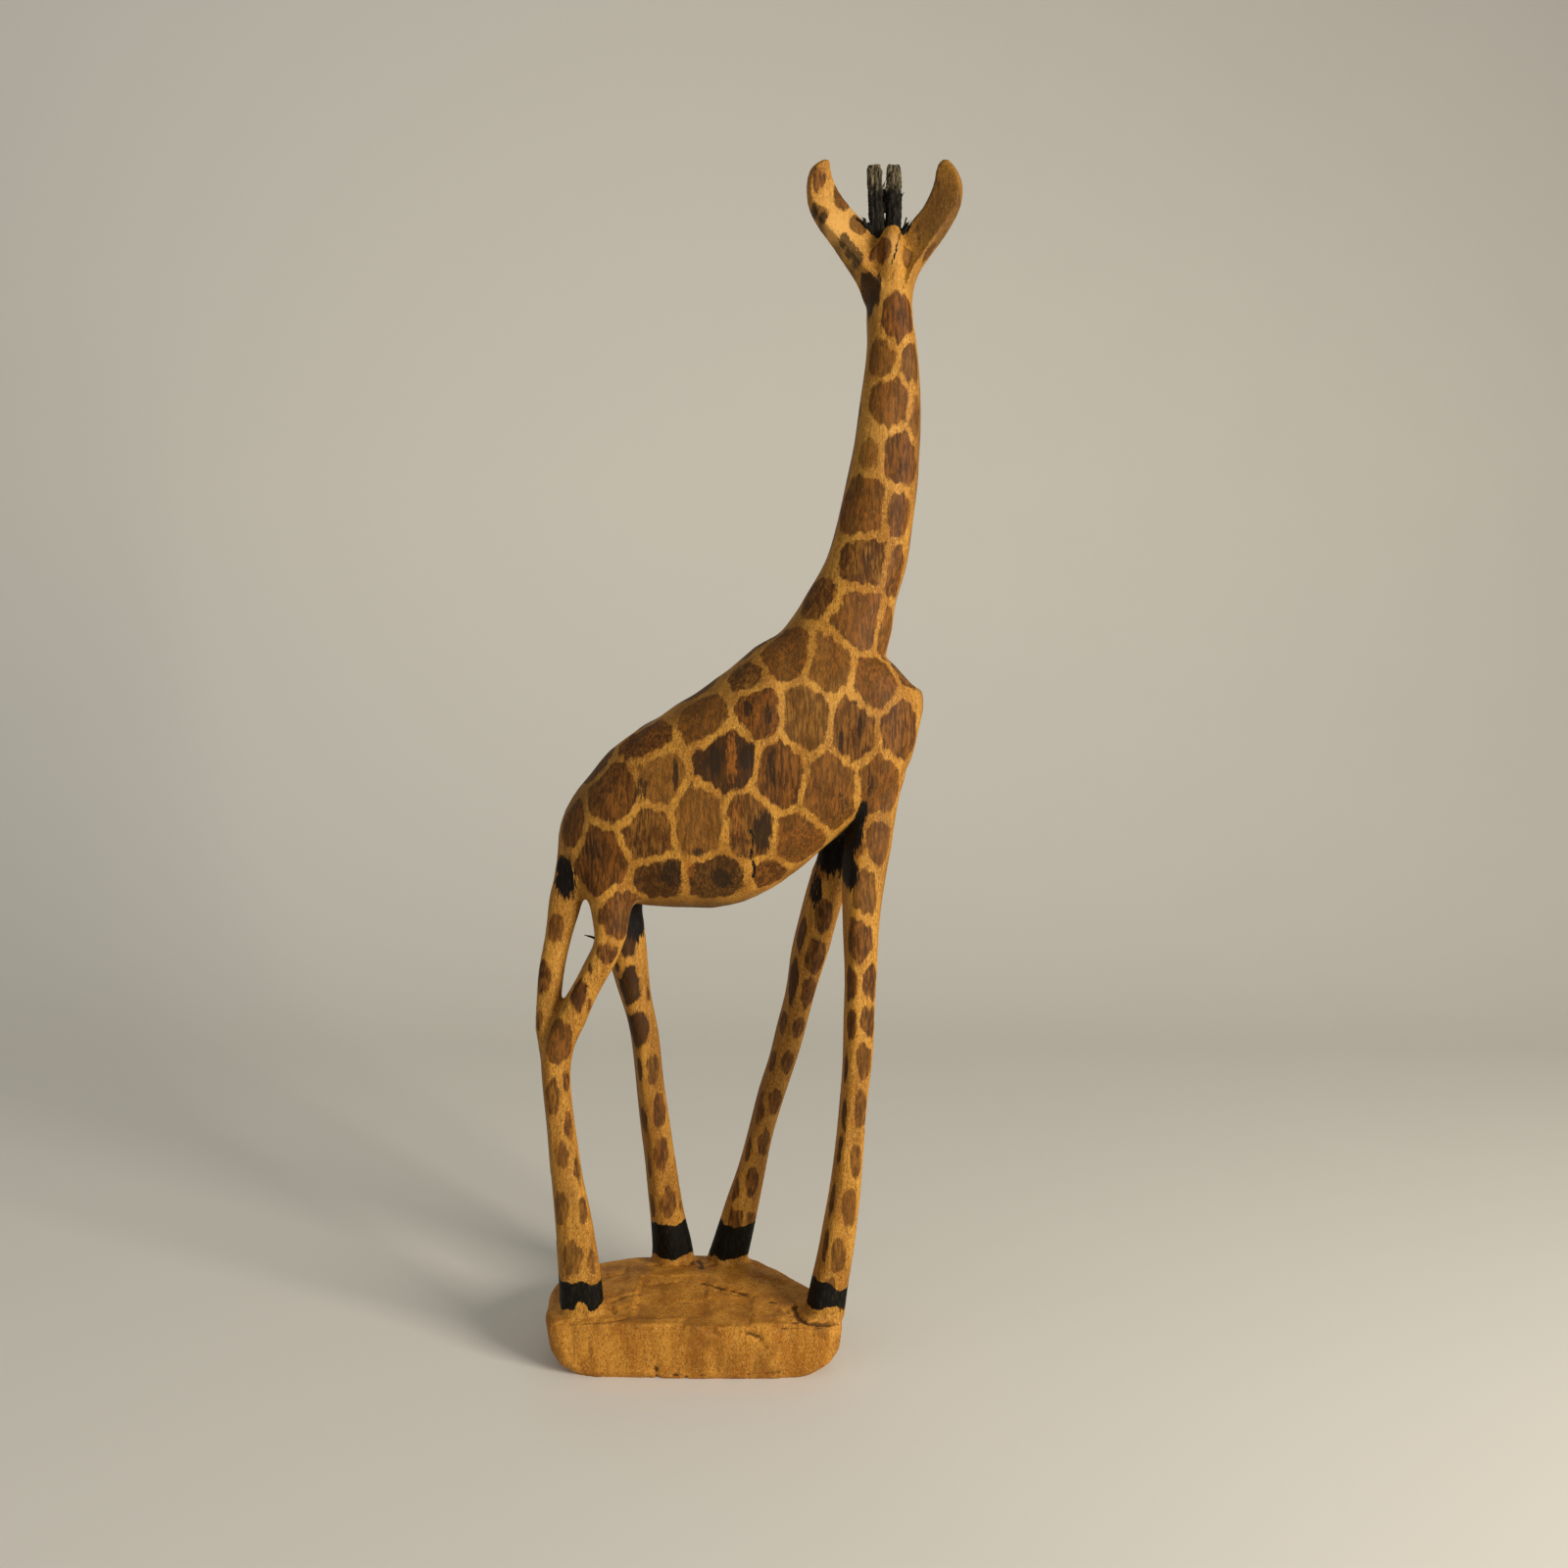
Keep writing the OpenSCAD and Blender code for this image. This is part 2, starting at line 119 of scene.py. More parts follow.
# On the legs: z, place across the leg from -1, its rear edge, to 1, its front edge, half sizes and tone
LEG_SPOTS = {
    "front_right_leg": [
        (138.5, 0.6, 3, 5.6, 0.4), (136.5, -0.45, 1.5, 3.3, 0.5), (124.5, 0.35, 2.7, 5.3, 0.4),
        (113, -0.3, 3, 5.4, 0.5), (102, -0.8, 1.8, 5, 0.7), (102.5, 0.6, 1.8, 4.7, 0.5),
        (91.5, -0.7, 1.5, 3.8, 0.6),
        (92, 0.65, 1.8, 4, 0.5), (82, 0.5, 1.9, 4, 0.4), (80, -0.9, 1, 3.6, 0.8), (69.5, 0.5, 1.6, 4.4, 0.4),
        (68, -0.85, 1, 3.8, 0.8), (56, 0.5, 1.4, 4, 0.4), (59, -0.9, 1, 4, 0.8), (44, 0.4, 1.8, 4.2, 0.3),
        (46, -0.9, 1, 4.4, 0.8), (31.5, 0.1, 1.8, 3.8, 0.3), (34, -0.9, 1, 4.6, 0.7), (24, 0, 1.6, 2, 0.3),
    ],
    "front_left_leg": [
        (115, 0.35, 2.2, 4.6, 0.6), (110, -0.7, 1.9, 4.8, 0.8), (104.5, 0.5, 2.8, 4.6, 0.6),
        (97.5, -0.7, 1.9, 6, 0.9), (94, 0.4, 2.6, 4.2, 0.6), (86, -0.7, 1.4, 3.3, 0.7),
        (84.5, 0.5, 1.7, 3.3, 0.5),
        (75, -0.7, 1.3, 3.2, 0.7), (74.5, 0.5, 1.7, 3.2, 0.5), (63.5, 0.5, 1.9, 3.8, 0.5),
        (62, -0.75, 1.5, 4, 0.6), (52, 0.5, 1.7, 3.8, 0.5), (50, -0.85, 1.1, 4.2, 0.6),
        (40.5, 0.65, 1.7, 4, 0.5), (38, -0.9, 1.1, 4.4, 0.6), (30, -0.2, 1.9, 3.4, 0.5),
        (29, 0.65, 1.6, 2.2, 0.4),
    ],
    "hind_right_leg": [
        (120, 0, 5.4, 6, 0.5), (110, 0.3, 2.3, 2.7, 0.6), (105, -0.1, 0.9, 2.2, 0.6),
        (99, -0.3, 2.3, 3.9, 0.8),
        (96, 0.9, 1.5, 3.6, 0.7), (87, 0, 2.9, 5.1, 0.4), (77.5, 0.9, 1, 3.4, 0.5), (73, -0.1, 1.6, 4, 0.4),
        (65, 0.95, 1, 3.5, 0.5), (58, 0.1, 1.5, 3, 0.3), (54, 0.95, 0.9, 3.4, 0.5), (44, -0.3, 1.8, 3.8, 0.3),
        (43, 0.9, 1, 3.3, 0.4), (31, -0.15, 2.3, 4, 0.3), (30, 0.9, 1, 3, 0.4),
    ],
    "hind_left_leg": [
        (108.5, 0.3, 2.2, 3.8, 0.9), (102, -0.5, 1.6, 2.6, 0.8), (96, -0.1, 2.7, 5.5, 0.9),
        (84.5, -0.3, 2.9, 5, 0.9), (95, 0.95, 0.8, 2.6, 0.5), (73, -0.55, 1.1, 3.8, 0.8),
        (72.5, 0.55, 1.7, 3.2, 0.5), (61, 0.4, 1.7, 4.2, 0.6), (58, -0.7, 1.1, 4, 0.7),
        (48.5, 0.45, 1.7, 4.5, 0.5), (45, -0.75, 0.9, 3.2, 0.7),
        (35, 0.3, 1.9, 3.8, 0.5), (33, -0.8, 0.9, 3.2, 0.7), (32, 0.95, 0.8, 2.2, 0.4),
    ],
    "tail": [
        (126, 0, 2, 3, 0.4), (115, -0.3, 1.9, 3.2, 0.4), (102.5, -0.6, 1.9, 4, 0.5), (92, -0.6, 1, 2.8, 0.4),
    ],
}
# Gap left between two neighbouring spots, and how far each one spreads past the size given
SPOT_GAP = 1.7
SPOT_GROWTH = 1.17

# Black stains: black paint at the roots of the horns, and painted shade on the belly's underside and on the
# tops of the legs below it. Centre, half sizes and strength
BLACK_PAINT_AND_SHADE = [
    ((4, -6, 117), (30, 14, 4.5), 0.45),
    ((-31.5, -5, 127.5), (4, 7, 8.5), 1.0), ((36, 4, 133), (8, 8, 9), 0.9), ((41, 5, 141), (5, 8, 8), 0.9),
    ((32, 3, 123), (3, 7, 8), 0.7), ((-16, 4, 118), (4, 6, 6), 0.6), ((46, -1, 289.5), (3.4, 6, 3), 1.0),
    ((44, -1, 290.5), (1.6, 4, 2), 1.0), ((53.6, 1, 290), (2.6, 5, 3.2), 1.0),
    ((55.5, 0, 291.5), (1.2, 3, 1.4), 0.8), ((43.2, -9, 145), (2.2, 9, 5), 1.0),
    ((41, -9, 139.5), (4, 9, 7), 1.0), ((38.5, -9, 135), (5.2, 9, 9), 1.0),
    ((40.6, -9, 130), (3.2, 9, 6.5), 1.0), ((-15, 5, 115), (5, 8, 9), 0.9),
]
# The belly's edge in front, as x and z: the painted shade on the leg under the belly lies below it
BELLY_EDGE = [(20, 124.5), (32, 132.5), (35.5, 135), (39, 139.5), (41.5, 143), (43, 147), (46, 152)]
# Sooty streaks of the right side: x, z, half width, half height and strength. A negative one is reddish.
# Those on the left ear's lower face are painted shade on that face, not soot.
STREAKS = [
    (7, 158.5, 2.6, 5.4, 0.9), (15, 159.5, 2.1, 4.4, 1), (11, 159, 1.8, 9, -0.8), (38, 163, 0.7, 3.6, 1),
    (42.7, 165.5, 0.7, 6, 1), (41, 172.5, 1.8, 1, 0.7), (-2.7, 154.8, 1, 5, 1), (18.6, 140.5, 3, 6.4, 1),
    (20, 169.3, 1.3, 4, 1), (15, 171, 2, 3, 0.8), (17.5, 170, 1, 5, -0.6), (21, 156.5, 2, 7.4, 0.8),
    (45.3, 152, 1.1, 5, 0.8), (-4.4, 129.6, 3.6, 5, 0.8), (8.5, 128.3, 3.8, 4, 0.9),
    (0.5, 131, 2.2, 3.4, -0.6),
    (3, 135.3, 2.2, 1.6, 0.8), (-11.5, 151.5, 2.8, 4.6, 0.6), (-23.5, 136, 3.4, 4.6, 0.7),
    (12.5, 144, 1.8, 5.6, -0.6), (-13, 137, 2, 4, 0.5), (38, 147, 2.4, 5, 0.5), (28, 141, 2, 4, -0.4),
    # Painted shade on the left ear's lower face: these three, the next one and the first one after it
    (38.8, 285, 1.8, 2.6, 1), (40.4, 282.9, 1.9, 2.8, 1), (42, 280.6, 1.8, 2.7, 1),
    (31.6, 292.6, 1.2, 2.2, 1),
    (33.6, 290.4, 1.3, 2, 1), (53, 232.5, 2.6, 5, 0.5), (44.5, 207, 3.4, 4, 0.4), (43, 221, 3, 5, -0.4),
    (66.8, 291, 1.1, 7, 0.6), (63.4, 285, 1, 5, 0.4), (61.8, 297.5, 1, 5, 0.5), (57, 287, 0.8, 4, 0.5),
]
# Painted highlights, where the wood is painted paler on the left ear and on faces the light falls on: centre,
# half sizes and strength
PAINTED_HIGHLIGHTS = [
    ((38, -5, 290), (9, 8, 18), 1.0), ((50, -8, 283), (3.5, 5, 6), 0.9), ((44, -7, 272), (8, 5, 7), 0.4),
    ((49, -9, 240), (8, 6, 26), 0.3), ((30, -15, 172), (26, 8, 12), 0.3),
]
# Painted shade, with some weathering: where the wood is painted a duller, darker brown, likewise. It stands for
# shade on faces and edges turned from the light, the far legs, the belly's underside and the left ear's lower
# face; on the right ear it is shade and weathering.
PAINTED_SHADE_AND_WEATHERING = [
    ((58.5, -1, 235), (3.5, 8, 34), 0.7), ((61, -1, 172), (4, 12, 20), 0.6), ((50, -8, 125), (4, 8, 30), 0.4),
    ((-33, -14, 40), (6, 8, 34), 0.3), ((20, 12, 80), (20, 9, 60), 0.5), ((-12, 12, 80), (14, 9, 60), 0.4),
    ((62, -2, 292), (11, 9, 17), 1.0), ((57.5, -5, 276), (5, 6, 9), 0.4), ((42, 0, 215), (5, 9, 40), 0.35),
    ((-30, -6, 150), (16, 14, 20), 0.5), ((0, -8, 174), (20, 9, 9), 0.45), ((26, -6, 188), (12, 10, 9), 0.35),
    ((4, -4, 118), (36, 16, 7), 1.0), ((34, -4, 128), (12, 12, 6), 0.6),
    ((36.8, 0, 282.5), (2.4, 6, 4.5), 0.9),
    ((40.3, 0, 277.5), (2.6, 6, 4), 0.9), ((43.5, 0, 273.5), (2.6, 6, 4), 0.8),
    ((33, 0, 287.5), (1.8, 6, 4), 0.8), ((-37, -10, 62), (4, 8, 26), 0.6), ((24, 14, 90), (7, 10, 40), 0.35),
]
# The cracks in the belly and beside the crown, as x and z from top to bottom. They are only painted shade: dark
# lines with no groove cut
BELLY_CRACK = [(16, 141), (16.3, 137), (15.6, 134), (16.8, 131), (16.2, 128.5)]
HEAD_CRACK = [(52.5, 287), (51.5, 283.5), (51, 281), (50, 278.5)]
# Each one with its half width and the strength of its painted shade
CRACK_SHADE_LINES = [(BELLY_CRACK, 0.4, 0.9), (HEAD_CRACK, 0.3, 0.68)]

# Cuts and cracks in the base: places along each one, half width, depth, and painted shade in it from 0 to 1.
# Those in its top are given as x and y, and those in its front as x and z.
TOP_MARKS = [
    ([(2, -0.5), (8.5, -3.5), (14.5, -5.5)], 0.8, 0.5, 0.9),
    ([(6, -4.5), (11, -6), (16, -6.5)], 0.6, 0.3, 0.5),
    ([(-4, -8.5), (2.5, -9)], 0.7, 0.3, 0.3), ([(-21, -9), (-18, -7), (-14.5, -5.5)], 0.8, 0.4, 0.5),
    ([(-12, -1), (-4, 0.5)], 0.6, 0.25, 0.4), ([(20.5, -9), (22, -9.3)], 0.8, 0.3, 0.7),
    ([(26.8, -11), (27.2, -15), (29.5, -18), (34, -18.8), (38, -17.5)], 1, 0.8, 1),
    ([(24.5, -12.5), (26, -15)], 0.8, 0.5, 0.6), ([(24, -17), (27, -18)], 0.9, 0.5, 0.6),
    ([(-21, -11.5), (-19, -15)], 0.8, 0.5, 0.6), ([(-18, -11.5), (-16, -14.5)], 0.8, 0.4, 0.4),
    ([(-21, -17.5), (-16.5, -16)], 0.8, 0.5, 0.5), ([(-34, -18), (-27, -18.6), (-22, -18)], 0.8, 0.4, 0.5),
    ([(0.5, 12.5), (1.6, 7.5)], 1.1, 0.2, 1), ([(-1.5, 11), (0.5, 8.5)], 0.8, 0.3, 0.9),
    ([(-13, 9.5), (-8, 8.8), (-2, 9.5)], 0.8, 0.5, 0.5), ([(2.5, 9), (12, 9.5)], 0.7, 0.4, 0.5),
    ([(16, 3), (24, -1)], 0.7, 0.25, 0.2), ([(-28, 2), (-20, 5)], 0.7, 0.25, 0.2),
]
FRONT_MARKS = [
    ([(4, 14), (7.5, 12.6)], 0.7, 0.4, 0.5), ([(14.5, 13), (17.5, 12), (19.5, 9)], 0.8, 0.5, 0.8),
    ([(-8.7, 0.5), (-8.5, 3)], 0.8, 0.6, 1), ([(-4, 1), (-1, 0.8)], 0.6, 0.3, 0.9),
    ([(2.5, 1), (5, 1.2)], 0.6, 0.3, 0.7), ([(15, 1.4), (24, 2)], 0.6, 0.25, 0.6),
    ([(-26, 13), (-25.6, 5)], 0.6, 0.15, 0.2), ([(26, 12), (26.5, 3)], 0.6, 0.15, 0.2),
    ([(-14, 13.5), (-4, 14.2), (6, 13.8)], 0.7, 0.3, 0.4), ([(22, 14), (36, 14)], 0.7, 0.3, 0.6),
]

# The face: eyes and nostrils as centre and half sizes, and the mouth, which rises to its corners
EYES = [((50 + side * 5.8, 6, 281.8), (1.8, 2.5, 1.4)) for side in (-1, 1)]
NOSTRILS = [((51.5 + side * 2, 22.8, 276.4), (1, 1.2, 0.8)) for side in (-1, 1)]
MOUTH_LEVEL = 272.4
MOUTH_REAR = 12
MOUTH_FRONT = 23
MOUTH_RISE = 0.16

# ---------- Triangle surfaces ----------


class Surface:
    """Triangles in millimetres, with named values at their points."""

    def __init__(self, points, triangles):
        self.points = points
        self.triangles = triangles
        self.values = {}

    def edges(self):
        ends = np.concatenate([self.triangles[:, pair] for pair in ([0, 1], [1, 2], [2, 0])])
        ends.sort(axis=1)
        return np.unique(ends, axis=0)

    def normals(self):
        a, b, c = (self.points[self.triangles[:, i]] for i in range(3))
        across = np.cross(b - a, c - a)
        total = np.zeros_like(self.points)
        for corner in range(3):
            for axis in range(3):
                total[:, axis] += np.bincount(self.triangles[:, corner], across[:, axis], len(total))
        return total / np.maximum(np.linalg.norm(total, axis=1, keepdims=True), 1e-12)


def cad_points(name):
    """Places of a node's points, in millimetres."""
    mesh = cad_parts[name].data
    flat = np.empty(len(mesh.vertices) * 3, np.float32)
    mesh.vertices.foreach_get("co", flat)
    return flat.reshape(-1, 3).astype(float) / METRES


def cad_tree(*names):
    """The surfaces of some nodes, to find places on."""
    points, faces = [], []
    for name in names:
        first = len(points)
        points += [Vector(p) for p in cad_points(name)]
        faces += [tuple(first + i for i in face.vertices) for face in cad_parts[name].data.polygons]
    return BVHTree.FromPolygons(points, faces)


def fused(names, voxel, extra=()):
    """One surface around several nodes and extra solids, with even triangles of about the voxel's size."""
    joined = bmesh.new()
    for name in names:
        joined.from_mesh(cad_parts[name].data)
    bmesh.ops.scale(joined, vec=Vector((1, 1, 1)) / METRES, verts=joined.verts)
    for solid in extra:
        added = bpy.data.meshes.new("extra")
        solid.to_mesh(added)
        solid.free()
        joined.from_mesh(added)
        bpy.data.meshes.remove(added)
    mesh = bpy.data.meshes.new("block")
    joined.to_mesh(mesh)
    joined.free()
    block = bpy.data.objects.new("block", mesh)
    bpy.context.scene.collection.objects.link(block)
    remesh = block.modifiers.new("remesh", "REMESH")
    remesh.mode = "VOXEL"
    remesh.voxel_size = voxel
    made = block.evaluated_get(bpy.context.evaluated_depsgraph_get()).to_mesh()
    made.calc_loop_triangles()
    points = np.empty(len(made.vertices) * 3, np.float32)
    made.vertices.foreach_get("co", points)
    triangles = np.empty(len(made.loop_triangles) * 3, np.int32)
    made.loop_triangles.foreach_get("vertices", triangles)
    bpy.data.objects.remove(block)
    bpy.data.meshes.remove(mesh)
    return Surface(points.reshape(-1, 3).astype(float), triangles.reshape(-1, 3).astype(np.int64))


def neighbour_mean(values, edges):
    """Mean of each point's neighbours, for values with any number of columns."""
    count = len(values)
    degree = np.bincount(edges.ravel(), minlength=count)
    columns = values.reshape(count, -1)
    total = np.empty_like(columns)
    for i in range(columns.shape[1]):
        one_way = np.bincount(edges[:, 0], columns[edges[:, 1], i], count)
        total[:, i] = one_way + np.bincount(edges[:, 1], columns[edges[:, 0], i], count)
    return (total / np.maximum(degree, 1)[:, None]).reshape(values.shape)


def smooth(surface, edges, rounds):
    """Takes off the steps of the remesh without thinning the carving: each round moves in and back out."""
    for _ in range(rounds):
        for push in (0.5, -0.52):
            surface.points += push * (neighbour_mean(surface.points, edges) - surface.points)


def soften(surface, edges, centre, radius, rounds):
    """Rounds out a join: evens the surface around a centre, less and less towards the radius."""
    away = np.linalg.norm(surface.points - np.array(centre), axis=1)
    local = edges[(away[edges] < radius).any(axis=1)]
    used, place = np.unique(local, return_inverse=True)
    local = place.reshape(-1, 2)
    points = surface.points[used]
    weight = 0.6 * np.clip(1 - (away[used] / radius) ** 2, 0, 1)[:, None]
    for _ in range(rounds):
        points += weight * (neighbour_mean(points, local) - points)
    surface.points[used] = points


def wander(points, wave, seed, waves=14):
    """A smooth random value from about -1 to 1 at each point. wave is its length along x, y and z."""
    draw = np.random.default_rng(seed)
    total = np.zeros(len(points))
    for _ in range(waves):
        way = draw.normal(size=3)
        way *= draw.uniform(0.6, 1.5) / np.linalg.norm(way)
        total += np.sin(points @ (way * 2 * math.pi / np.array(wave)) + draw.uniform(0, 2 * math.pi))
    return total / math.sqrt(waves)


# ---------- Carving ----------

# Where parts run into each other: centre, radius and rounds of softening
JOINS = [
    ((34, -9, 186), 16, 160), ((34, 9, 186), 16, 160), ((24, 0, 191), 9, 60),
    ((-20, -9, 125), 12, 120), ((-20, 9, 124), 12, 120),
    ((50, -9, 145), 9, 60), ((36, -11, 134), 5, 6), ((39, 9, 134), 10, 100),
    ((44, -3, 269), 5, 25), ((56, -3, 269), 5, 25), ((50.5, -6, 270), 5, 25), ((50, 5, 270), 7, 40),
    ((-38, -9.5, 84), 5, 40), ((-33, -3, 132), 8, 60),
    ((33.5, -12, 16), 8, 8), ((7, 13.5, 17), 8, 8), ((-29, -12, 16), 8, 8), ((-7, 13.5, 17), 8, 8),
]


def whittle(surface, chosen, depth, reach, seed, count):
    """Flat knife cuts: pares the surface back to planes that lie just under it."""
    draw = random.Random(seed)
    normals = surface.normals()
    for _ in range(count):
        pick = chosen[draw.randrange(len(chosen))]
        normal = normals[pick]
        offset = surface.points - surface.points[pick]
        near = np.flatnonzero((np.abs(offset) < reach).all(axis=1))
        near = near[normals[near] @ normal > 0.5]
        cut = depth * draw.uniform(0.5, 1.3)
        height = offset[near] @ normal + cut
        if height.max() < 1.5 * cut:
            over = height > 0
            surface.points[near[over]] -= height[over, None] * normal


def times_half(points, centre, half):
    """How many half sizes each point lies from the centre of an ellipsoid."""
    return np.linalg.norm((points - np.array(centre)) / np.array(half), axis=1)


def along_line(points, line):
    """Distance of each point from a line through some places, in two dimensions."""
    nearest = np.full(len(points), FAR)
    for start, end in zip(line, line[1:]):
        way = np.subtract(end, start)
        share = np.clip((points - start) @ way / (way @ way), 0, 1)
        nearest = np.minimum(nearest, np.linalg.norm(points - start - share[:, None] * way, axis=1))
    return nearest


def mark_base(surface):
    """Cuts the marks into the base. painted_hollow_shade: how dark their hollows are painted, a painted shade.
    """
    normals = surface.normals()
    z = surface.points[:, 2]
    painted_hollow_shade = np.zeros(len(z))
    waver = 0.5 * wander(surface.points, (3, 3, 3), 51)
    top = (z > 10) & (z < 21) & (normals[:, 2] > 0.5)
    front = (z < 16) & (normals[:, 1] < -0.4)
    for marks, here, plane in ((TOP_MARKS, top, [0, 1]), (FRONT_MARKS, front, [0, 2])):
        for line, half_w, depth, darkness in marks:
            away = (along_line(surface.points[:, plane], line) + waver * 0.6) / half_w
            inside = np.where(here, np.clip(1 - away * away, 0, 1), 0)
            surface.points -= (depth * inside)[:, None] * normals
            # Painted shade in the hollow of each cut
            painted_hollow_shade = np.maximum(painted_hollow_shade, darkness * np.where(here, np.clip(1.2 - away, 0, 1), 0))
    surface.values["painted_hollow_shade"] = painted_hollow_shade


def above_mouth(points):
    """Height of each point above the line of the mouth."""
    return points[:, 2] - MOUTH_LEVEL - MOUTH_RISE * (MOUTH_FRONT - points[:, 1])


def level_underside(surface):
    """Brings the underside back to the one flat face on which the statue stands."""
    under = (surface.points[:, 2] < 0.5) & (surface.normals()[:, 2] < -0.7)
    surface.points[under, 2] = 0
    surface.points[:, 2] = np.maximum(surface.points[:, 2], 0)


def carve_face(surface):
    """Raised eyes in hollows, nostrils and a mouth."""
    normals = surface.normals()
    push = np.zeros(len(surface.points))
    for centre, half in EYES:
        away = times_half(surface.points, centre, half)
        push += 0.6 * np.clip(1 - away**2, 0, 1) - 0.35 * np.exp(-(((away - 1.3) / 0.25) ** 2))
    for centre, half in NOSTRILS:
        away = times_half(surface.points, centre, half)
        push -= 0.6 * np.clip(1.2 - away**2, 0, 1)
    y = surface.points[:, 1]
    push -= 0.4 * np.exp(-((above_mouth(surface.points) / 0.55) ** 2)) * np.clip(y - MOUTH_REAR, 0, 1)
    surface.points += push[:, None] * normals


def carve_body():
    """The whole figure and its base as one softened and whittled surface."""
    surface = fused(WOODEN, VOXEL)
    edges = surface.edges()
    smooth(surface, edges, 3)
    for centre, radius, rounds in JOINS:
        soften(surface, edges, centre, radius, rounds)
    smooth(surface, edges, 4)
    z = surface.points[:, 2]
    whittle(surface, np.flatnonzero(z > 20), 0.16, 9, 5, 420)
    whittle(surface, np.flatnonzero((z > 2) & (z < 19)), 0.3, 9, 6, 160)
    swell = 0.12 * wander(surface.points, (9, 9, 26), 11)
    surface.points += swell[:, None] * surface.normals()
    smooth(surface, edges, 2)
    carve_face(surface)
    mark_base(surface)
    level_underside(surface)
    return surface


# ---------- Paint, as values at the points ----------


def touch(tree, x, z, from_left):
    """Where a point painted at x and z lies on a part's right or left side."""
    side = 1 if from_left else -1
    hit = tree.ray_cast(Vector((x, 60 * side, z)), Vector((0, -side, 0)))[0]
    return hit if hit is not None else tree.find_nearest(Vector((x, 4 * side, z)))[0]


def across(points, z, share):
    """The x of a place across a leg, from -1, its rear edge, to 1, its front edge."""
    level = points[np.argsort(np.abs(points[:, 2] - z))[:RING], 0]
    return (level.max() + level.min()) / 2 + share * (level.max() - level.min()) / 2 * 0.9


def all_spots():
    """Every spot as its place on the surface, half width, half height and tone. The left side's differ a
    little from the right side's, as the hand that painted them moved on."""
    draw = random.Random(3)
    spots = []
    body = cad_tree("torso", "neck", "head", *EARS, *LEGS)
    for x, z, half_w, half_h, tone in TORSO_SPOTS + NECK_SPOTS:
        spots.append((touch(body, x, z, False), half_w, half_h, tone))
        x += draw.uniform(-2, 2)
        z += draw.uniform(-2, 2)
        spots.append((touch(body, x, z, True), half_w, half_h, draw.uniform(0.3, 0.7)))
    for x, z, half_w, half_h, tone in HEAD_SPOTS:
        spots.append((touch(body, x, z, False), half_w, half_h, tone))
    for x, y, z, half_w, half_h, tone in OTHER_SPOTS:
        spots.append((body.find_nearest(Vector((x, y, z)))[0], half_w, half_h, tone))
    for name, rows in LEG_SPOTS.items():
        tree = cad_tree(name)
        points = cad_points(name)
        for z, share, half_w, half_h, tone in rows:
            spots.append((touch(tree, across(points, z, share), z, False), half_w, half_h, tone))
            z += draw.uniform(-3, 3)
            share *= -0.8
            if points[:, 2].min() + 2 < z < points[:, 2].max() - 2:
                spots.append((touch(tree, across(points, z, share), z, True), half_w, half_h, tone))
    return spots


def paint_spots(surface):
    """patch: millimetres inside a spot's edge, negative outside. tone: that spot's tone. mood: a random value
    from 0 to 1 for each spot."""
    x, y, z = surface.points.T
    draw = random.Random(8)
    nearest = np.full(len(x), 1e3)
    second = nearest.copy()
    size = np.ones(len(x))
    tone = np.zeros(len(x))
    mood = np.zeros(len(x))
    for place, half_w, half_h, spot_tone in all_spots():
        away = np.sqrt(((x - place.x) ** 2 + (y - place.y) ** 2) / half_w**2 + ((z - place.z) / half_h) ** 2)
        closer = away < nearest
        second = np.where(closer, nearest, np.minimum(second, away))
        nearest = np.where(closer, away, nearest)
        size = np.where(closer, math.sqrt(half_w * half_h), size)
        tone = np.where(closer, spot_tone, tone)
        mood = np.where(closer, draw.random(), mood)
    to_edge = (SPOT_GROWTH - nearest) * size
    to_neighbour = (second - nearest) * size / 2 - SPOT_GAP / 2
    waver = 0.35 * wander(surface.points, (3, 3, 5), 41)
    surface.values["patch"] = np.clip(np.minimum(to_edge, to_neighbour) + waver, -FAR, FAR)
    surface.values["tone"] = tone
    surface.values["mood"] = mood


def around(points, places, steepness):
    """The largest strength of some blurred ellipsoids at each point."""
    most = np.zeros(len(points))
    for centre, half, strength in places:
        away = times_half(points, centre, half)
        most = np.maximum(most, strength * np.clip(steepness * (1 - away), 0, 1))
    return most


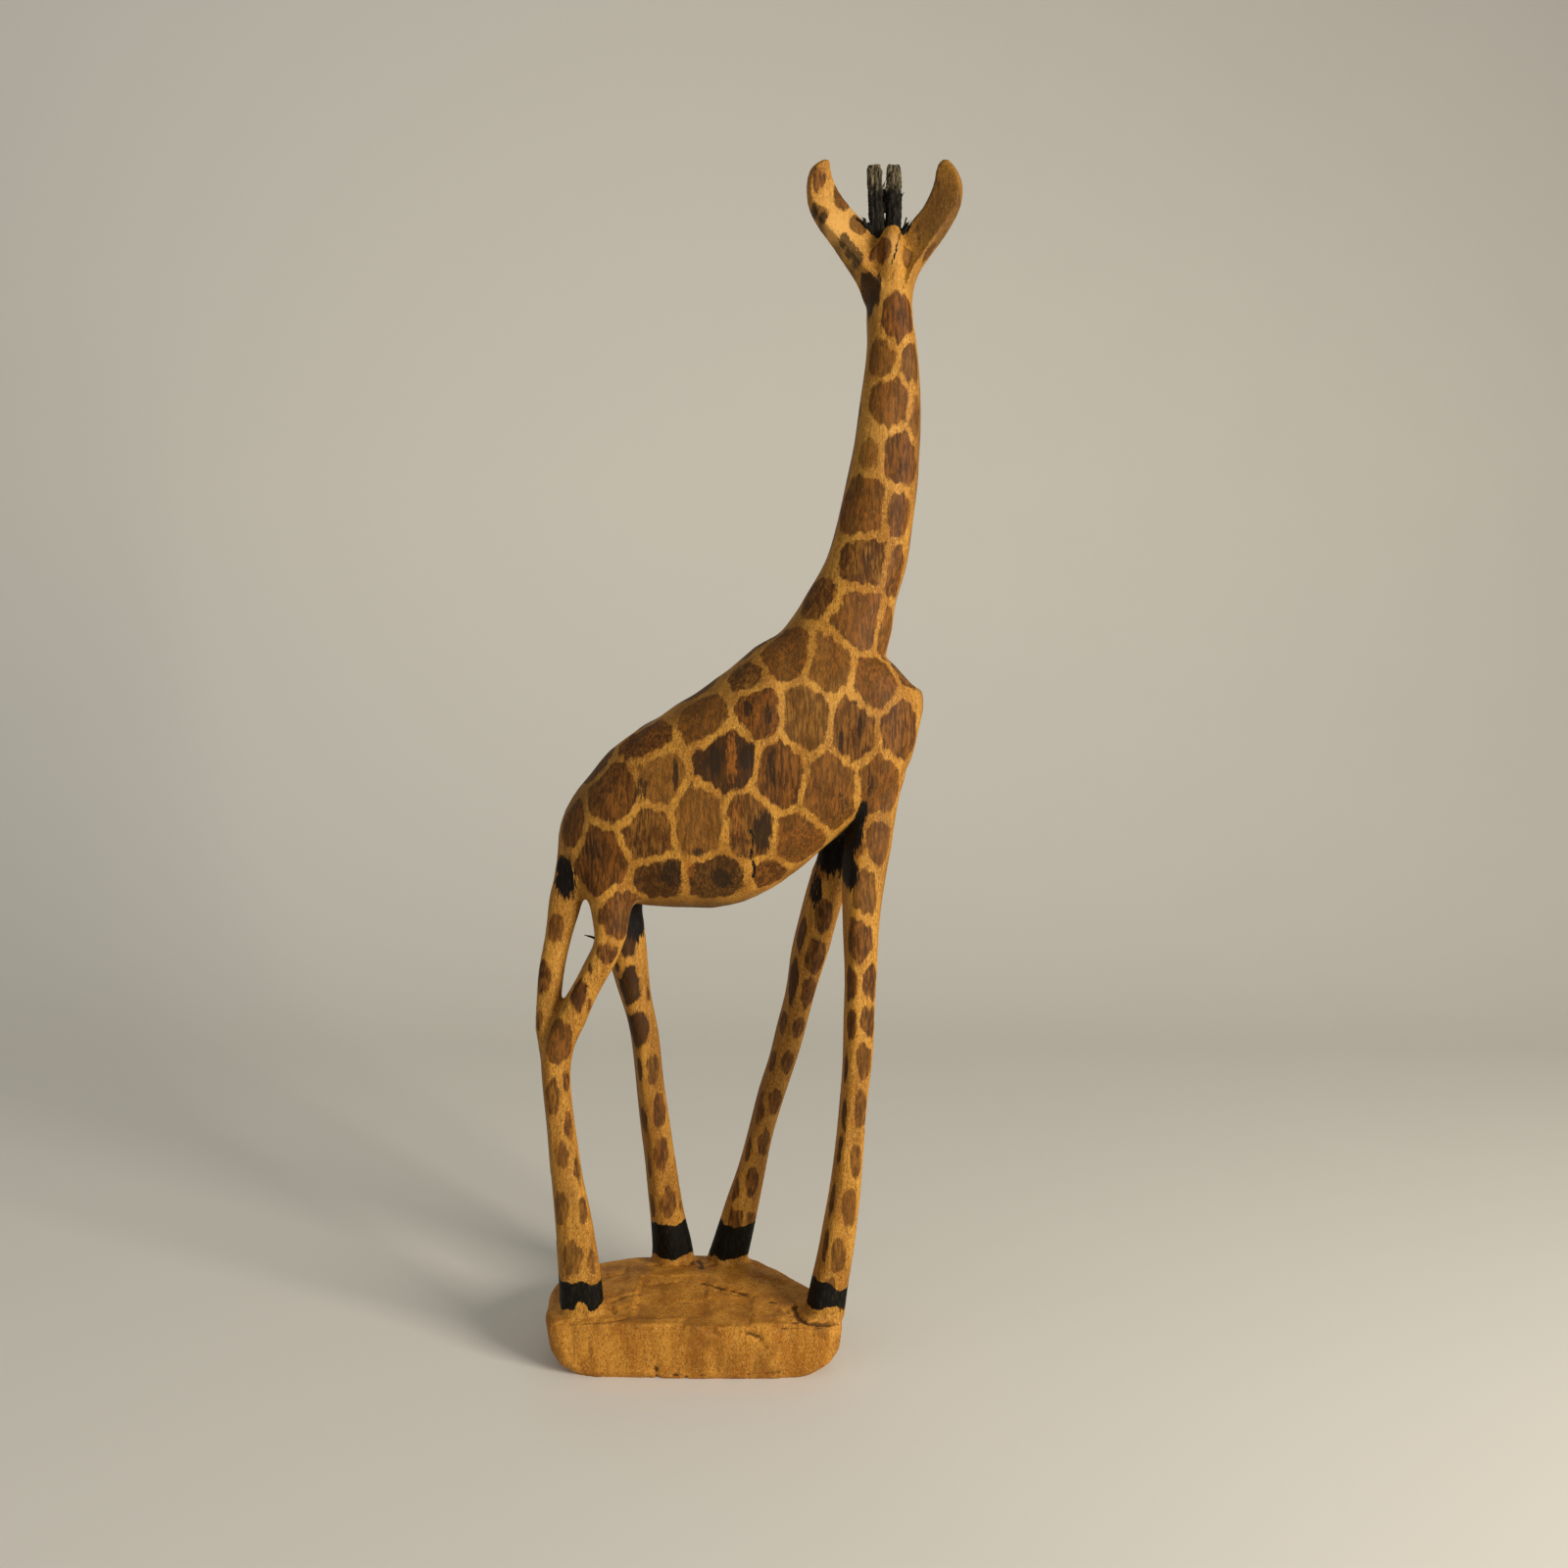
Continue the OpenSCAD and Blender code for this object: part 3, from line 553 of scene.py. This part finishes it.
def paint_stains_shade_and_highlights(surface):
    """stain: how black the wood is: black paint at the horns' roots, and painted shade under the belly, on the
    tops of the legs below it and in each crack. streak: dark brown above 0, reddish below, and painted shade on
    the left ear's lower face. painted_shade_and_weathering: how far the wood is painted a darker brown, mostly
    as painted shade and partly as weathering. painted_highlight: how much paler it is painted, as painted
    highlight."""
    x, y, z = surface.points.T
    streak = np.zeros(len(x))
    for centre_x, centre_z, half_w, half_h, strength in STREAKS:
        away = np.hypot((x - centre_x) / half_w, (z - centre_z) / half_h)
        here = np.where(y < 0, np.clip(1.6 * (1.1 - away), 0, 1), 0)
        streak = np.where(here > np.abs(streak), strength * here, streak)
    # Painted shade of the cracks: dark lines along them, with no groove cut
    crack_shade = np.zeros(len(x))
    for line, half_w, strength in CRACK_SHADE_LINES:
        away = along_line(surface.points[:, [0, 2]], line)
        crack_shade = np.maximum(crack_shade, np.clip(1.3 - away / half_w, 0, strength) * (y < -3))
    # The painted shade on the leg under the belly stops at the belly's edge
    edge_z = np.interp(x, *np.transpose(BELLY_EDGE))
    on_belly = (y < 0) & (x > BELLY_EDGE[0][0]) & (x < BELLY_EDGE[-1][0]) & (z > 120)
    below = np.where(on_belly, np.clip(0.5 + (edge_z - z) / 0.8, 0, 1), 1)
    surface.values["stain"] = np.maximum(around(surface.points, BLACK_PAINT_AND_SHADE, 1.8) * below, crack_shade)
    surface.values["streak"] = streak
    surface.values["painted_shade_and_weathering"] = around(surface.points, PAINTED_SHADE_AND_WEATHERING, 1.5)
    surface.values["painted_highlight"] = around(surface.points, PAINTED_HIGHLIGHTS, 1.5)


# Black paint of the hooves: height of its upper edge at the rear and at the front, and of its lower edge
HOOF_PAINT = {
    "front_right_hoof": (25.5, 22.5, 17.2),
    "front_left_hoof": (28, 28, 18.3),
    "hind_right_hoof": (25.5, 24, 17.5),
    "hind_left_hoof": (28, 29.5, 18.6),
}
# Where that paint has worn off: centre and half sizes
WORN_PAINT = [((-28, -17, 17.5), (1.6, 4, 1.8)), ((36, -17, 17), (3, 3, 1.2))]


def paint_black(surface):
    """black: millimetres inside the edge of the black paint of hooves and face, negative outside."""
    x, y, z = surface.points.T
    black = np.full(len(x), -FAR)
    waver = 0.5 * wander(surface.points, (5, 5, 40), 23)
    for name, (rear_top, front_top, bottom) in HOOF_PAINT.items():
        points = cad_points(name)
        low, high = points.min(axis=0) - 3, points.max(axis=0) + 3
        here = (x > low[0]) & (x < high[0]) & (y > low[1]) & (y < high[1])
        share = np.clip((x - low[0]) / (high[0] - low[0]), 0, 1)
        top = rear_top + share * (front_top - rear_top) + waver
        band = np.minimum(top - z, z - bottom - waver)
        black = np.where(here, np.maximum(black, np.clip(band, -FAR, FAR)), black)
    for centre, half in WORN_PAINT:
        away = times_half(surface.points, centre, half)
        black = np.minimum(black, np.clip(1.5 * (away - 1), -FAR, FAR))
    for centre, half in EYES + NOSTRILS:
        away = times_half(surface.points, centre, half)
        black = np.maximum(black, np.clip(1.5 * (1 - away), -FAR, FAR))
    line = np.clip(3 * (0.45 - np.abs(above_mouth(surface.points))), -FAR, FAR)
    mouth = np.where((y > MOUTH_REAR + 1) & (z > 265), line, -FAR)
    surface.values["black"] = np.maximum(black, mouth)


# ---------- Parting the surface into pieces ----------


def distance_to(name, points):
    """Distance from each point to a node's surface, up to FAR."""
    tree = cad_tree(name)
    outline = cad_points(name)
    distance = np.full(len(points), FAR)
    near = ((points > outline.min(axis=0) - FAR) & (points < outline.max(axis=0) + FAR)).all(axis=1)
    for i in np.flatnonzero(near):
        found = tree.find_nearest(Vector(points[i]), FAR)[3]
        distance[i] = FAR if found is None else found
    return distance


def split_along(surface, field):
    """Splits the triangles that the field's zero line crosses. Returns which triangles lie below it, and
    which triangle each one came from."""
    above = field[surface.triangles] > 0
    count = above.sum(axis=1)
    mixed = (count > 0) & (count < 3)
    lone_above = count[mixed] == 1
    lone = np.argmax(above[mixed] == lone_above[:, None], axis=1)
    order = (lone[:, None] + np.arange(3)) % 3
    a, b, c = np.take_along_axis(surface.triangles[mixed], order, axis=1).T
    ends = np.sort(np.concatenate([np.stack([a, b], 1), np.stack([a, c], 1)]), axis=1)
    pairs, place = np.unique(ends, axis=0, return_inverse=True)
    place = place.reshape(-1) + len(field)
    ab, ac = place[:len(a)], place[len(a):]
    share = np.clip(field[pairs[:, 0]] / (field[pairs[:, 0]] - field[pairs[:, 1]]), 0.1, 0.9)

    def with_cuts(v):
        added = v[pairs[:, 0]].T * (1 - share) + v[pairs[:, 1]].T * share
        return np.concatenate([v, added.T])

    surface.points = with_cuts(surface.points)
    surface.values = {name: with_cuts(v) for name, v in surface.values.items()}
    added = [np.stack([a, ab, ac], 1), np.stack([ab, b, c], 1), np.stack([ab, c, ac], 1)]
    came_from = np.concatenate([np.flatnonzero(~mixed)] + [np.flatnonzero(mixed)] * 3)
    surface.triangles = np.concatenate([surface.triangles[~mixed]] + added)
    below = np.concatenate([count[~mixed] == 0, ~lone_above, lone_above, lone_above])
    return below, came_from


def part(surface):
    """Numbers each triangle by its piece, and cuts triangles so that pieces meet on clean lines."""
    edges = surface.edges()
    for name in WOODEN:
        distance = distance_to(name, surface.points)
        for _ in range(4):
            distance = 0.5 * (distance + neighbour_mean(distance, edges))
        surface.values["to_" + name] = distance
    owner = np.full(len(surface.triangles), -1)
    for number, name in enumerate(WOODEN):
        others = np.min([surface.values["to_" + other] for other in WOODEN if other != name], axis=0)
        below, came_from = split_along(surface, surface.values["to_" + name] - others)
        owner = owner[came_from]
        owner[below & (owner < 0)] = number
    for name in WOODEN:
        del surface.values["to_" + name]
    return owner


def rims(triangles):
    """Closed rings of points around a piece's open ends, in the direction of its triangles."""
    ways = {(int(a), int(b)) for t in triangles for a, b in ((t[0], t[1]), (t[1], t[2]), (t[2], t[0]))}
    following = {a: b for a, b in ways if (b, a) not in ways}
    rings = []
    while following:
        start, point = following.popitem()
        ring = [start]
        while point != start:
            ring.append(point)
            point = following.pop(point)
        rings.append(ring)
    return rings


def piece_from(surface, chosen, normals, name):
    """A closed mesh object from some of a surface's triangles, with a cap over each open end. Its shading
    follows the whole surface, so that no seam shows where two pieces meet."""
    used, place = np.unique(surface.triangles[chosen], return_inverse=True)
    walls = place.reshape(-1, 3)
    points = surface.points[used]
    values = {key: v[used] for key, v in surface.values.items()}
    corner_normals = normals[used][walls].reshape(-1, 3)
    caps = []
    for ring in rims(walls):
        centre = len(points)
        points = np.vstack([points, points[ring].mean(axis=0)])
        values = {key: np.append(v, v[ring].mean()) for key, v in values.items()}
        caps += [(ring[i], ring[i - 1], centre) for i in range(len(ring))]
    if caps:
        a, b, c = (points[[cap[i] for cap in caps]] for i in range(3))
        flat = np.cross(b - a, c - a)
        flat /= np.maximum(np.linalg.norm(flat, axis=1, keepdims=True), 1e-12)
        corner_normals = np.vstack([corner_normals, np.repeat(flat, 3, axis=0)])
        walls = np.vstack([walls, np.array(caps)])
    mesh = bpy.data.meshes.new(name)
    mesh.from_pydata((points * METRES).tolist(), [], walls.tolist())
    mesh.polygons.foreach_set("use_smooth", np.ones(len(walls), bool))
    mesh.normals_split_custom_set(corner_normals.tolist())
    for key, v in values.items():
        mesh.attributes.new(key, "FLOAT", "POINT").data.foreach_set("value", v.astype(np.float32))
    piece = bpy.data.objects.new(name, mesh)
    bpy.context.scene.collection.objects.link(piece)
    return piece


# ---------- Horns ----------


# Torn fibres where the horns leave the head: horn, root, tip and thickness at the root
SLIVERS = [
    ("left_horn", (46.2, 0.4, 286.8), (43, -1.5, 291.6), 1.9),
    ("left_horn", (46.2, 0, 287), (41.8, -1, 291.2), 1.4),
    ("left_horn", (46, 0.5, 287), (44.7, -1.2, 290.4), 1.4),
    ("left_horn", (47.6, 0, 296), (48.9, -0.2, 300.2), 0.7),
    ("right_horn", (52, 0, 286), (55.2, -1.5, 290.6), 1.6),
    ("right_horn", (52.5, 0, 287), (54.2, -1, 291.2), 1.0),
    ("right_horn", (52.6, 0, 296), (53.6, -0.2, 297.6), 0.7),
    ("right_horn", (49.6, 0, 297), (48.5, -0.4, 299.4), 0.7),
]


def sliver(start, end, thickness):
    """A closed cone from start to a point at end, in millimetres."""
    made = bmesh.new()
    way = Vector(end) - Vector(start)
    turn = way.to_track_quat("Z", "Y").to_matrix().to_4x4()
    place = Matrix.Translation((Vector(start) + Vector(end)) / 2) @ turn
    bmesh.ops.create_cone(made, cap_ends=True, segments=8, radius1=thickness / 2, radius2=0.12,
                          depth=way.length, matrix=place)
    return made


def carve_horn(name):
    """A horn's own fine surface, rough from the knife and with torn fibres.
    wear: 1 at the top, 0 lower down."""
    slivers = [sliver(*row[1:]) for row in SLIVERS if row[0] == name]
    surface = fused((name,), HORN_VOXEL, slivers)
    edges = surface.edges()
    smooth(surface, edges, 3)
    rough = 0.08 * wander(surface.points, (0.9, 0.9, 14), 31)
    rough += 0.13 * wander(surface.points, (1.7, 1.7, 2.6), 32)
    rough += 0.05 * wander(surface.points, (0.6, 0.6, 0.9), 33)
    surface.points += rough[:, None] * surface.normals()
    smooth(surface, edges, 1)
    surface.values["wear"] = np.clip((surface.points[:, 2] - 294) / 8, 0, 1)
    return surface


def carve_splinter():
    """The burnt splinter that stands off the rear of the hind right leg."""
    surface = fused((), SPLINTER_VOXEL, [sliver((-23.4, -8.5, 112.3), (-26.8, -8.8, 113.4), 0.9)])
    smooth(surface, surface.edges(), 2)
    surface.points += 0.06 * wander(surface.points, (1.5, 0.5, 0.5), 35)[:, None] * surface.normals()
    return surface


# ---------- Materials ----------

# Strength of the reflections of old oiled wood and thin paint
SHEEN = 0.15


def tint(red, green, blue):
    """A colour given as on screen, from 0 to 255."""
    return tuple((c / 255) ** 2.2 for c in (red, green, blue)) + (1,)


class Nodes:
    """Short names for the nodes of one material."""

    def __init__(self, name):
        self.material = bpy.data.materials.new(name)
        self.material.use_nodes = True
        self.tree = self.material.node_tree
        self.shader = self.tree.nodes["Principled BSDF"]

    def add(self, kind, inputs=None, **settings):
        node = self.tree.nodes.new("ShaderNode" + kind)
        for key, value in settings.items():
            setattr(node, key, value)
        for key, value in (inputs or {}).items():
            self.put(value, node.inputs[key])
        return node

    def put(self, value, socket):
        if isinstance(value, bpy.types.NodeSocket):
            self.tree.links.new(value, socket)
        else:
            socket.default_value = value

    def math(self, operation, a, b=0.0, clamp=False):
        return self.add("Math", {0: a, 1: b}, operation=operation, use_clamp=clamp).outputs[0]

    def times(self, a, b, clamp=False):
        return self.math("MULTIPLY", a, b, clamp)

    def value(self, name):
        return self.add("Attribute", attribute_name=name).outputs["Fac"]

    def grain(self, stretch, detail=2.0, rough=0.55):
        """Noise over the object in millimetres, squeezed by stretch along x, y and z."""
        place = self.add("TexCoord").outputs["Object"]
        scaled = self.add("Mapping", {"Vector": place, "Scale": [s / METRES for s in stretch]}).outputs[0]
        inputs = {"Vector": scaled, "Scale": 1.0, "Detail": detail, "Roughness": rough}
        return self.add("TexNoise", inputs).outputs["Fac"]

    def vary(self, value, noise, amount):
        """A value, with noise added that takes it up and down alike."""
        return self.math("ADD", value, self.times(self.math("SUBTRACT", noise, 0.5), amount))

    def between(self, value, low, high):
        """0 below low, 1 above high, and a smooth step between."""
        inputs = {"Value": value, "From Min": low, "From Max": high}
        return self.add("MapRange", inputs, interpolation_type="SMOOTHSTEP").outputs[0]

    def blend(self, share, first, second):
        node = self.add("Mix", data_type="RGBA")
        self.put(share, node.inputs[0])
        self.put(first, node.inputs[6])
        self.put(second, node.inputs[7])
        return node.outputs[2]

    def finish(self, colour, roughness, height, depth):
        """Colour, roughness and a bump of depth millimetres on the shader."""
        bump = self.add("Bump", {"Height": height, "Distance": depth * METRES, "Strength": 1.0})
        self.put(colour, self.shader.inputs["Base Color"])
        self.put(roughness, self.shader.inputs["Roughness"])
        self.put(SHEEN, self.shader.inputs["Specular IOR Level"])
        self.put(bump.outputs[0], self.shader.inputs["Normal"])
        return self.material


def bare_wood_colour(nodes, light, dark, smudge):
    """Pale wood with fine pores, pale specks and slow changes along the grain."""
    pores = nodes.grain((3.0, 3.0, 1.0), 2.0, 0.6)
    specks = nodes.grain((2.6, 2.6, 1.6), 3.0, 0.7)
    slow = nodes.grain((0.2, 0.2, 0.06), 3.0)
    streaks = nodes.grain((0.9, 0.9, 0.1), 2.0)
    ground = nodes.blend(nodes.between(slow, 0.38, 0.62), light, dark)
    ground = nodes.blend(nodes.times(nodes.between(streaks, 0.5, 0.75), 0.5), ground, smudge)
    ground = nodes.blend(nodes.times(nodes.between(specks, 0.5, 0.68), 0.55), ground, tint(222, 172, 94))
    return nodes.blend(nodes.times(nodes.between(pores, 0.48, 0.7), 0.75), ground, smudge)


def spotted_wood():
    """Pale wood under scorched brown spots, black stains and black hoof paint, with painted shade and painted
    highlights, each from its own value.
    """
    nodes = Nodes("spotted_wood")
    stroke = nodes.grain((1.6, 1.6, 0.2), 3.0, 0.65)
    dash = nodes.grain((3.0, 3.0, 0.4), 2.0, 0.7)
    fine = nodes.grain((4.5, 4.5, 2.2), 2.0)
    patchy = nodes.grain((0.5, 0.5, 0.22), 2.0)
    tone = nodes.value("tone")
    ground = bare_wood_colour(nodes, tint(186, 130, 50), tint(156, 103, 36), tint(100, 63, 20))
    spot = nodes.blend(nodes.value("mood"), tint(118, 68, 23), tint(130, 88, 36))
    spot = nodes.blend(nodes.between(patchy, 0.4, 0.62), spot, tint(92, 57, 22))
    spot = nodes.blend(nodes.times(nodes.between(stroke, 0.44, 0.58), 0.8), spot, tint(60, 35, 13))
    spot = nodes.blend(nodes.times(nodes.between(dash, 0.54, 0.72), 0.6), spot, tint(152, 98, 38))
    spot = nodes.blend(nodes.between(tone, 0.5, 1.1), spot, tint(46, 31, 16))
    ragged = nodes.vary(nodes.vary(nodes.value("patch"), stroke, 1.1), fine, 1.3)
    patch = nodes.between(ragged, -0.3, 0.35)
    cover = nodes.math("ADD", 0.55, nodes.times(tone, 0.9), clamp=True)
    colour = nodes.blend(nodes.times(patch, cover), ground, spot)
    # Painted highlight: paler wood where the light falls
    painted_highlight = nodes.times(nodes.vary(nodes.value("painted_highlight"), stroke, 0.5), 0.55, clamp=True)
    painted_highlight = nodes.times(painted_highlight, nodes.math("SUBTRACT", 1.15, patch))
    colour = nodes.blend(painted_highlight, colour, tint(226, 170, 92))
    # Painted shade, with some weathering: a duller, darker brown on faces turned from the light
    shade_and_weathering_share = nodes.times(nodes.vary(nodes.value("painted_shade_and_weathering"), stroke, 0.5), 0.8, clamp=True)
    shaded_weathered_colour = nodes.blend(nodes.between(dash, 0.4, 0.7), tint(80, 54, 25), tint(114, 79, 38))
    colour = nodes.blend(shade_and_weathering_share, colour, shaded_weathered_colour)
    # Sooty streaks, and painted shade along the left ear's lower face
    soot_and_ear_shade = nodes.between(nodes.vary(nodes.vary(nodes.value("streak"), stroke, 1.8), dash, 1.2), 0.3, 0.8)
    colour = nodes.blend(nodes.times(soot_and_ear_shade, 0.85), colour, tint(44, 32, 19))
    reddish = nodes.times(nodes.value("streak"), -1.0)
    reddish = nodes.between(nodes.vary(nodes.vary(reddish, dash, 2.4), stroke, 1.0), 0.3, 1.0)
    colour = nodes.blend(nodes.times(reddish, 0.75), colour, tint(158, 94, 34))
    # Black paint at the roots of the horns, and painted shade under the belly, on the legs below it and in the
    # cracks
    black_and_shade_share = nodes.between(nodes.vary(nodes.vary(nodes.value("stain"), stroke, 1.7), dash, 0.8), 0.35, 0.6)
    black_and_shade_colour = nodes.blend(nodes.between(dash, 0.5, 0.75), tint(18, 13, 8), tint(50, 34, 16))
    colour = nodes.blend(black_and_shade_share, colour, black_and_shade_colour)
    black = nodes.between(nodes.vary(nodes.vary(nodes.value("black"), stroke, 1.6), dash, 1.0), -0.1, 0.2)
    paint = nodes.blend(nodes.between(dash, 0.5, 0.75), tint(14, 12, 7), tint(52, 42, 22))
    colour = nodes.blend(black, colour, paint)
    roughness = nodes.math("ADD", 0.5, nodes.times(fine, 0.2))
    height = nodes.math("ADD", stroke, nodes.times(fine, 0.5))
    return nodes.finish(colour, roughness, height, 0.14)


def bare_wood():
    """The unpainted base, warmer and a little worn, with painted shade darkening the hollows that the knife
    left.
    """
    nodes = Nodes("bare_wood")
    colour = bare_wood_colour(nodes, tint(194, 132, 50), tint(164, 104, 34), tint(112, 70, 22))
    fibre = nodes.grain((0.5, 2.6, 2.6), 3.0, 0.6)
    stain = nodes.grain((0.12, 0.12, 0.08), 3.0, 0.6)
    colour = nodes.blend(nodes.times(nodes.between(stain, 0.48, 0.66), 0.45), colour, tint(116, 74, 30))
    colour = nodes.blend(nodes.times(nodes.between(fibre, 0.58, 0.78), 0.6), colour, tint(104, 62, 20))
    # Painted shade in the hollows of the cuts
    painted_hollow_shade = nodes.between(nodes.vary(nodes.value("painted_hollow_shade"), fibre, 0.9), 0.35, 0.8)
    colour = nodes.blend(nodes.times(painted_hollow_shade, 0.8), colour, tint(58, 38, 17))
    fine = nodes.grain((3, 3, 3), 2.0)
    return nodes.finish(colour, nodes.math("ADD", 0.5, nodes.times(fine, 0.2)), fibre, 0.14)


def black_paint():
    """Thin black paint, worn to a pale grey brown near the tops of the horns."""
    nodes = Nodes("black_paint")
    fibre = nodes.grain((2.4, 2.4, 0.5), 3.0, 0.65)
    blotch = nodes.grain((0.9, 0.9, 0.45), 3.0, 0.6)
    worn = nodes.between(nodes.vary(nodes.value("wear"), blotch, 1.6), 0.45, 0.8)
    worn = nodes.times(worn, nodes.between(fibre, 0.35, 0.7))
    paint = nodes.blend(nodes.between(fibre, 0.45, 0.75), tint(20, 17, 11), tint(58, 50, 36))
    return nodes.finish(nodes.blend(worn, paint, tint(122, 108, 80)), 0.7, fibre, 0.14)


# ---------- Studio ----------

CAMERA_PLACE = (24, -327, 184.5)
CAMERA_TILT = 5.84
CAMERA_LENS = 29.25


def studio():
    """Pale floor that curves up into a backdrop, a soft key light from the right and the camera."""
    profile = [(-900, 0), (260, 0)]
    profile += [(260 + 300 * math.sin(a), 300 - 300 * math.cos(a)) for a in np.linspace(0.1, math.pi / 2, 14)]
    profile += [(560, 1400)]
    width = 1400
    verts = [(x * METRES, y * METRES, z * METRES) for y, z in profile for x in (-width, width)]
    faces = [(2 * i, 2 * i + 1, 2 * i + 3, 2 * i + 2) for i in range(len(profile) - 1)]
    mesh = bpy.data.meshes.new("floor")
    mesh.from_pydata(verts, [], faces)
    mesh.polygons.foreach_set("use_smooth", [True] * len(faces))
    floor = bpy.data.objects.new("floor", mesh)
    bpy.context.scene.collection.objects.link(floor)
    nodes = Nodes("backdrop")
    mottle = nodes.grain((0.02, 0.02, 0.02), 2.0)
    along = nodes.add("SeparateXYZ", {0: nodes.add("TexCoord").outputs["Object"]}).outputs["X"]
    # Painted light: the backdrop is painted paler at the left, where less of the key light from the right falls
    painted_light_across_wall = nodes.between(along, -450 * METRES, 450 * METRES)
    colour = nodes.blend(painted_light_across_wall, tint(238, 233, 219), tint(208, 203, 190))
    colour = nodes.blend(nodes.times(mottle, 0.1), colour, tint(232, 228, 216))
    floor.data.materials.append(nodes.finish(colour, 0.9, mottle, 0.01))
    light("key", (560, -430, 300), 260, 5.8, (1, 0.95, 0.88))
    light("fill", (-500, -520, 420), 500, 0.4, (0.95, 0.97, 1))
    world = bpy.data.worlds.new("studio")
    world.use_nodes = True
    world.node_tree.nodes["Background"].inputs["Color"].default_value = (0.9, 0.92, 0.95, 1)
    world.node_tree.nodes["Background"].inputs["Strength"].default_value = 0.3
    bpy.context.scene.world = world
    lens = bpy.data.cameras.new("camera")
    lens.lens = CAMERA_LENS
    lens.sensor_width = 36
    lens.clip_start = 0.01
    camera = bpy.data.objects.new("camera", lens)
    camera.location = Vector(CAMERA_PLACE) * METRES
    camera.rotation_euler = (math.radians(90 - CAMERA_TILT), 0, 0)
    bpy.context.scene.collection.objects.link(camera)
    bpy.context.scene.camera = camera
    bpy.context.scene.view_settings.view_transform = "Standard"


def light(name, place, size, power, colour):
    """A square area light in millimetres, aimed at the middle of the statue."""
    lamp = bpy.data.lights.new(name, "AREA")
    lamp.size = size * METRES
    lamp.energy = power
    lamp.color = colour
    lamp_object = bpy.data.objects.new(name, lamp)
    lamp_object.location = Vector(place) * METRES
    aim = Vector((10, 0, 150)) * METRES - lamp_object.location
    lamp_object.rotation_euler = aim.to_track_quat("-Z", "Y").to_euler()
    bpy.context.scene.collection.objects.link(lamp_object)


# ---------- Making it all ----------


def hand_in(piece, node, material):
    """Gives a finished piece its material and its place in the frame."""
    piece.data.materials.append(material)
    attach(piece, "root")
    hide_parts(node)


def main():
    studio()
    spotted = spotted_wood()
    bare = bare_wood()
    black = black_paint()
    body = carve_body()
    paint_spots(body)
    paint_stains_shade_and_highlights(body)
    paint_black(body)
    owner = part(body)
    normals = body.normals()
    for number, name in enumerate(WOODEN):
        piece = piece_from(body, owner == number, normals, "carved_" + name)
        material = bare if name == "base" else spotted
        hand_in(piece, name, material)
    splinter = carve_splinter()
    piece = piece_from(splinter, np.arange(len(splinter.triangles)), splinter.normals(), "carved_splinter")
    hand_in(piece, "hind_right_leg", black)
    for name in HORNS:
        horn = carve_horn(name)
        piece = piece_from(horn, np.arange(len(horn.triangles)), horn.normals(), "carved_" + name)
        hand_in(piece, name, black)


main()
